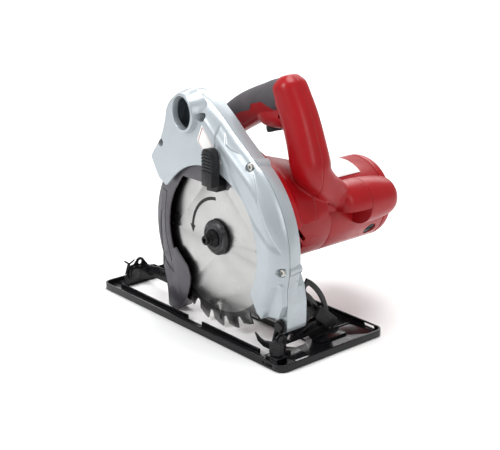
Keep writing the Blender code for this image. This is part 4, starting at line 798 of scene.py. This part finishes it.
def guard_label():
    """A blank sticker with a plain border on the cover's near face."""
    outer = [(7.0, 219.0), (15.5, 237.5), (49.0, 200.5), (30.0, 197.0)]
    inner, core = shrunk(outer, 0.90), shrunk(outer, 0.86)
    hand_in(prism("guard_label_foil", outer, -61.3 - 0.25, -61.3), "head", "label_white")
    border = prism("guard_label_border", inner, -61.65, -61.4)
    cut(border, prism("border_inside", core, -63.0, -60.0))
    hand_in(border, "head", "red_plastic")


# ---------------------------------------------------------------- lower guard


def lower_guard():
    near, far, thin = -52.6, -35.3, 1.5
    ring = arc(SPINDLE, 112.0, 68.0, 210.0, 80)
    ring += spline([around(SPINDLE, 79.0, a) for a in (208.0, 198.0, 186.0, 174.0, 162.0, 150.0, 140.0)], 5)
    ring += [(-32.0, 168.5), (47.0, 168.5), (58.0, 180.0)]
    shell = prism("lower_guard_shell", ring, near - 2, far + 2)
    bevel = [(100.8, near), (101.9, near + 0.5), (109.2, near + 8.2), (109.8, near + 9.6), (110.0, far)]
    keep(shell, turned("lower_bevel", SPINDLE, bevel, 160))
    foot = spline([(-70.4, 49.0), (-64.4, 24.0), (-62.4, 3.0)], 6)
    foot += [(-60.2, 1.2), (-47.0, 1.2)]
    foot += spline([(-41.0, 4.5), (-29.0, 20.0), (-22.0, 38.0), (-21.0, 50.0)], 6)
    foot += [(-25.0, 60.0), (-48.0, 78.0), (-68.0, 66.0)]
    join(shell, prism("foot", foot, near, far))
    hollow = [(99.8, near + thin), (108.0, near + 10), (108.3, far - thin)]
    cut(shell, turned("lower_space", SPINDLE, hollow, 160))
    space = [(-68.6, 47.0), (-62.7, 24.0), (-60.6, 4.0), (-59.6, 2.9), (-47.5, 2.9), (-42.4, 5.8)]
    space += [(-30.6, 21.0), (-23.6, 38.0), (0.0, 60.0), (20.0, 107.0), (-60.0, 60.0)]
    cut(shell, prism("foot_space", space, near + thin, far - thin))
    arms = arc(SPINDLE, 82.0, 76.0, 200.0, 48) + arc(SPINDLE, 22.0, 230.0, 46.0, 40)
    join(shell, prism("guard_arms", arms, far - thin, far))
    join(shell, turned("guard_hub", SPINDLE, [(25.5, far - thin), (25.5, -33.8)], 72))
    cut(shell, turned("hub_bore", SPINDLE, [(16.9, -45.0), (16.9, -20.0)], 72))
    relief = arc(SPINDLE, 66.0, 96.0, 186.0, 36) + arc(SPINDLE, 36.0, 186.0, 96.0, 24)
    cut(shell, prism("relief", relief, -45.0, -30.0))
    groove = [(-72.0, 118.0), (-73.4, 104.0), (-72.8, 84.0), (-70.0, 67.0), (-62.5, 54.0), (-50.5, 46.5)]
    groove = spline(groove, 8)
    cut(shell, strip("guard_groove", groove, 0.7, near - 1.0, near + 0.6))
    softened_mesh(shell, 0.35)
    hand_in(shell, "swing_guard", "dark_guard", ("lower_guard",), 40.0)
    rib = [around(SPINDLE, 98.0, 158.0), around(SPINDLE, 90.6, 156.4)]
    bend = ((89.8, 158.0), (88.0, 170.0), (87.6, 184.0), (88.4, 198.0), (90.0, 212.0))
    rib += spline([around(SPINDLE, r, a) for r, a in bend], 8)
    made_rib = strip("lower_guard_rib", rib, 0.8, near - 0.5, near + 0.1)
    softened_mesh(made_rib, 0.3)
    hand_in(made_rib, "swing_guard", "dark_guard")


def strip(name, line, half, start, end):
    """A band of even width that follows a line in the XZ plane."""
    left, right = [], []
    for i, (x, z) in enumerate(line):
        before, after = line[max(i - 1, 0)], line[min(i + 1, len(line) - 1)]
        along = Vector((after[0] - before[0], after[1] - before[1])).normalized()
        left.append((x - along.y * half, z + along.x * half))
        right.append((x + along.y * half, z - along.x * half))
    return prism(name, left + right[::-1], start, end)


def softened_mesh(obj, width, angle=30.0):
    bevel = obj.modifiers.new("edges", "BEVEL")
    bevel.width = width
    bevel.segments = 2
    bevel.limit_method = "ANGLE"
    bevel.angle_limit = math.radians(angle)
    bevel.use_clamp_overlap = True
    bpy.context.view_layer.update()
    return settled(obj)


def softened(node, width, slim=1.0, centre=(0.0, 0.0)):
    """A CAD node with its sharp edges broken, and drawn in towards an upright axis if it needs room."""
    obj = cad_copy(node, node + "_fine")
    for vertex in obj.data.vertices:
        vertex.co.x = centre[0] + (vertex.co.x - centre[0]) * slim
        vertex.co.y = centre[1] + (vertex.co.y - centre[1]) * slim
    dissolve = obj.modifiers.new("flats", "DECIMATE")
    dissolve.decimate_type = "DISSOLVE"
    dissolve.angle_limit = math.radians(0.8)
    softened_mesh(obj, width)
    hand_in(obj, BODY_OF[node], SLOT_OF[node], (node,))


# ---------------------------------------------------------------- motor


def turn_about_motor(angle):
    move = Matrix.Translation(Vector((MOTOR[0], 0.0, MOTOR[1])))
    turn = Matrix.Rotation(math.radians(90.0 - angle), 4, "Y")
    return move @ turn @ Matrix.Translation(Vector((-18.5, -34.0, 0.0)))


def slot_outline(start, end, radius, steps=8):
    angle = math.degrees(math.atan2(end[1] - start[1], end[0] - start[0]))
    far_end = arc(end, radius, angle - 90, angle + 90, steps)
    return far_end + arc(start, radius, angle + 90, angle + 270, steps)


def radial_rod(name, radius, start, end, angle, steps=48):
    turn = math.radians(angle)
    out = Vector((math.cos(turn), 0.0, math.sin(turn)))
    side = Vector((-math.sin(turn), 0.0, math.cos(turn)))
    rings = []
    for reach in (start, end):
        middle = Vector((MOTOR[0], BRUSH_Y, MOTOR[1])) + out * reach
        ring = []
        for k in range(steps):
            t = 2 * math.pi * k / steps
            ring.append(middle + side * radius * math.cos(t) + Vector((0, radius * math.sin(t), 0)))
        rings.append(ring)
    return loft(name, rings)


def motor_housing():
    profile = [(48.2, -3.9), (49.0, -3.1), (49.0, 60.0), (48.5, 60.5), (48.5, 61.5), (49.0, 62.0)]
    profile += [(49.0, 149.0), (48.2, 150.0)]
    housing = turned("motor_housing_shell", MOTOR, profile, 144)
    cut(housing, turned("inside", MOTOR, [(44.6, -9.0), (44.6, 146.0)], 96))
    cut(housing, turned("end_hole", MOTOR, [(30.0, 100.0), (30.0, 200.0)], 64))
    for i in range(3):
        for angle in (-33.0 + 13.0 * i, 147.0 + 13.0 * i):
            tool = prism(f"vent_{i}", slot_outline((10.0, 40.0), (27.0, 54.0), 2.2), 38.0, 56.0, "z")
            tool.data.transform(turn_about_motor(angle))
            cut(housing, tool)
    for angle in (-36.0, 144.0):
        cut(housing, radial_rod("brush_port", 8.6, 30.0, 60.0, angle))
    softened_mesh(housing, 0.5, 40.0)
    hand_in(housing, "head", "red_plastic", ("motor_housing",), 40.0)


def end_cap():
    rim = [(48.0, 150.3), (49.0, 151.2)]
    profile = rim + spline([(49.0, 153.0), (48.5, 158.0), (45.4, 162.6), (38.0, 165.3), (30.0, 165.6)], 6)
    cap = turned("end_cap_shell", MOTOR, profile, 144)
    cut(cap, turned("cap_inside", MOTOR, [(40.0, 140.0), (40.0, 160.6)], 64))
    join(cap, turned("cap_seat", MOTOR, [(14.0, 150.8), (14.0, 162.0)], 48))
    cut(cap, turned("cap_bearing", MOTOR, [(11.3, 140.0), (11.3, 159.4)], 48))
    for i in range(6):
        angle = 30.0 + 60.0 * i
        vent = slot_outline(around(MOTOR, 18.5, angle), around(MOTOR, 33.0, angle), 2.2)
        cut(cap, prism("cap_vent", vent, 150.0, 180.0))
    softened_mesh(cap, 0.4, 40.0)
    hand_in(cap, "head", "red_plastic", ("end_cap",), 40.0)


def flange():
    profile = [(12.0, -51.2), (17.0, -50.9), (19.6, -49.0), (20.2, -48.0), (20.2, -46.2), (19.8, -45.8)]
    disc = turned("outer_flange_disc", SPINDLE, profile, 96)
    cut(disc, turned("bore", SPINDLE, [(4.5, -60.0), (4.5, -20.0)], 32))
    cut(disc, tube_tool(13.4, 15.0))
    softened_mesh(disc, 0.25, 30.0)
    hand_in(disc, "blade_set", "black_steel", ("outer_flange",))


def tube_tool(inner, outer):
    tool = turned("groove_outer", SPINDLE, [(outer, -60.0), (outer, -50.4)], 96)
    cut(tool, turned("groove_inner", SPINDLE, [(inner, -61.0), (inner, -49.0)], 96))
    return tool


def bolt():
    profile = [(4.6, -64.4), (5.4, -63.8), (5.4, -59.6), (6.0, -59.4), (8.6, -55.6), (10.4, -53.6)]
    profile += [(10.6, -53.0), (10.6, -51.9), (10.3, -51.6), (4.0, -51.5), (4.0, -36.0)]
    made_bolt = turned("arbor_bolt_fine", SPINDLE, profile, 64)
    join(made_bolt, prism("hex", arc(SPINDLE, 7.6, 0.0, 300.0, 5), -60.4, -53.0))
    cut(made_bolt, prism("socket", arc(SPINDLE, 3.2, 0.0, 300.0, 5), -70.0, -60.5))
    softened_mesh(made_bolt, 0.25, 30.0)
    hand_in(made_bolt, "blade_set", "black_steel", ("arbor_bolt",))


def blade_arrow():
    """A plain rotation arrow printed on the blade."""
    line = arc(SPINDLE, 44.0, 93.0, 176.0, 40)
    band = strip("blade_arrow", line, 1.9, -45.5, -45.38)
    tip = around(SPINDLE, 44.0, 187.0)
    head = [tip, around(SPINDLE, 48.6, 174.5), around(SPINDLE, 39.4, 174.5)]
    join(band, prism("arrow_head", head, -45.5, -45.38))
    hand_in(band, "blade_set", "black_plastic")


handle()
soft_grip()
guard_cover()
guard_body()
guard_label()
lower_guard()
motor_housing()
end_cap()
flange()
bolt()
blade_arrow()
for node_name, width in (
    ("base_plate", 0.5), ("front_bracket", 0.35), ("rear_bracket", 0.35), ("guide_saddle", 0.4),
    ("tilt_bracket", 0.35), ("depth_quadrant", 0.35), ("bevel_lever", 0.6),
    ("depth_lever", 0.6), ("guard_lever", 0.5), ("trigger", 0.8), ("gear_case", 0.8), ("blade", 0.12),
    ("cord_gland", 0.4), ("rating_label", 0.1), ("brush_cap_front", 0.4), ("brush_cap_rear", 0.4),
):
    softened(node_name, width)
softened("guide_screw", 0.4, 0.93, (142.0, -65.4))

for node_name, node in NODES.items():
    dress(node, SLOT_OF[node_name])


# ---------------------------------------------------------------- studio


def studio():
    size = 6.0
    mesh = bpy.data.meshes.new("studio_floor")
    shape = bmesh.new()
    bmesh.ops.create_grid(shape, x_segments=2, y_segments=2, size=size)
    shape.to_mesh(mesh)
    shape.free()
    floor = bpy.data.objects.new("studio_floor", mesh)
    bpy.context.scene.collection.objects.link(floor)
    floor.location.z = -0.0004
    tones = ((0.90, 0.90, 0.90), (0.88, 0.88, 0.88))
    mesh.materials.append(surface("studio_paper", *tones, (0.75, 0.85), 0.0, 300.0, 0.00002, 2.0))


def area_light(name, place, target, size, power, colour=(1.0, 1.0, 1.0)):
    data = bpy.data.lights.new(name, "AREA")
    data.shape = "RECTANGLE"
    data.size, data.size_y = size
    data.energy = power
    data.color = colour
    lamp = bpy.data.objects.new(name, data)
    bpy.context.scene.collection.objects.link(lamp)
    lamp.location = place
    lamp.rotation_euler = (Vector(target) - Vector(place)).to_track_quat("-Z", "Y").to_euler()


def world(strength):
    made = bpy.data.worlds.new("studio_world")
    bpy.context.scene.world = made
    made.use_nodes = True
    made.node_tree.nodes["Background"].inputs["Color"].default_value = (1.0, 1.0, 1.0, 1.0)
    made.node_tree.nodes["Background"].inputs["Strength"].default_value = strength


def camera():
    data = bpy.data.cameras.new("camera")
    data.sensor_width = 36.0
    data.lens = 84.6
    data.clip_start = 0.05
    data.clip_end = 50.0
    made = bpy.data.objects.new("camera", data)
    bpy.context.scene.collection.objects.link(made)
    place = Vector((0.9810, -0.8323, 0.5374))
    aim = Vector((0.0246, -0.0004, 0.1123))
    made.location = place
    made.rotation_euler = (aim - place).to_track_quat("-Z", "Y").to_euler()
    bpy.context.scene.camera = made


studio()
world(0.42)
area_light("backdrop", (-2.0, 2.2, 1.6), (-2.0, 2.2, 0.0), (3.2, 3.2), 85.0)
area_light("key", (-0.5, -1.4, 1.3), (0.0, 0.0, 0.12), (0.6, 0.8), 17.0)
area_light("top", (0.0, 0.2, 1.8), (0.0, 0.0, 0.1), (1.0, 1.0), 22.0)
area_light("side", (1.7, -0.1, 0.9), (0.0, 0.0, 0.14), (0.5, 1.0), 5.0)
camera()
bpy.context.scene.view_settings.view_transform = "Standard"
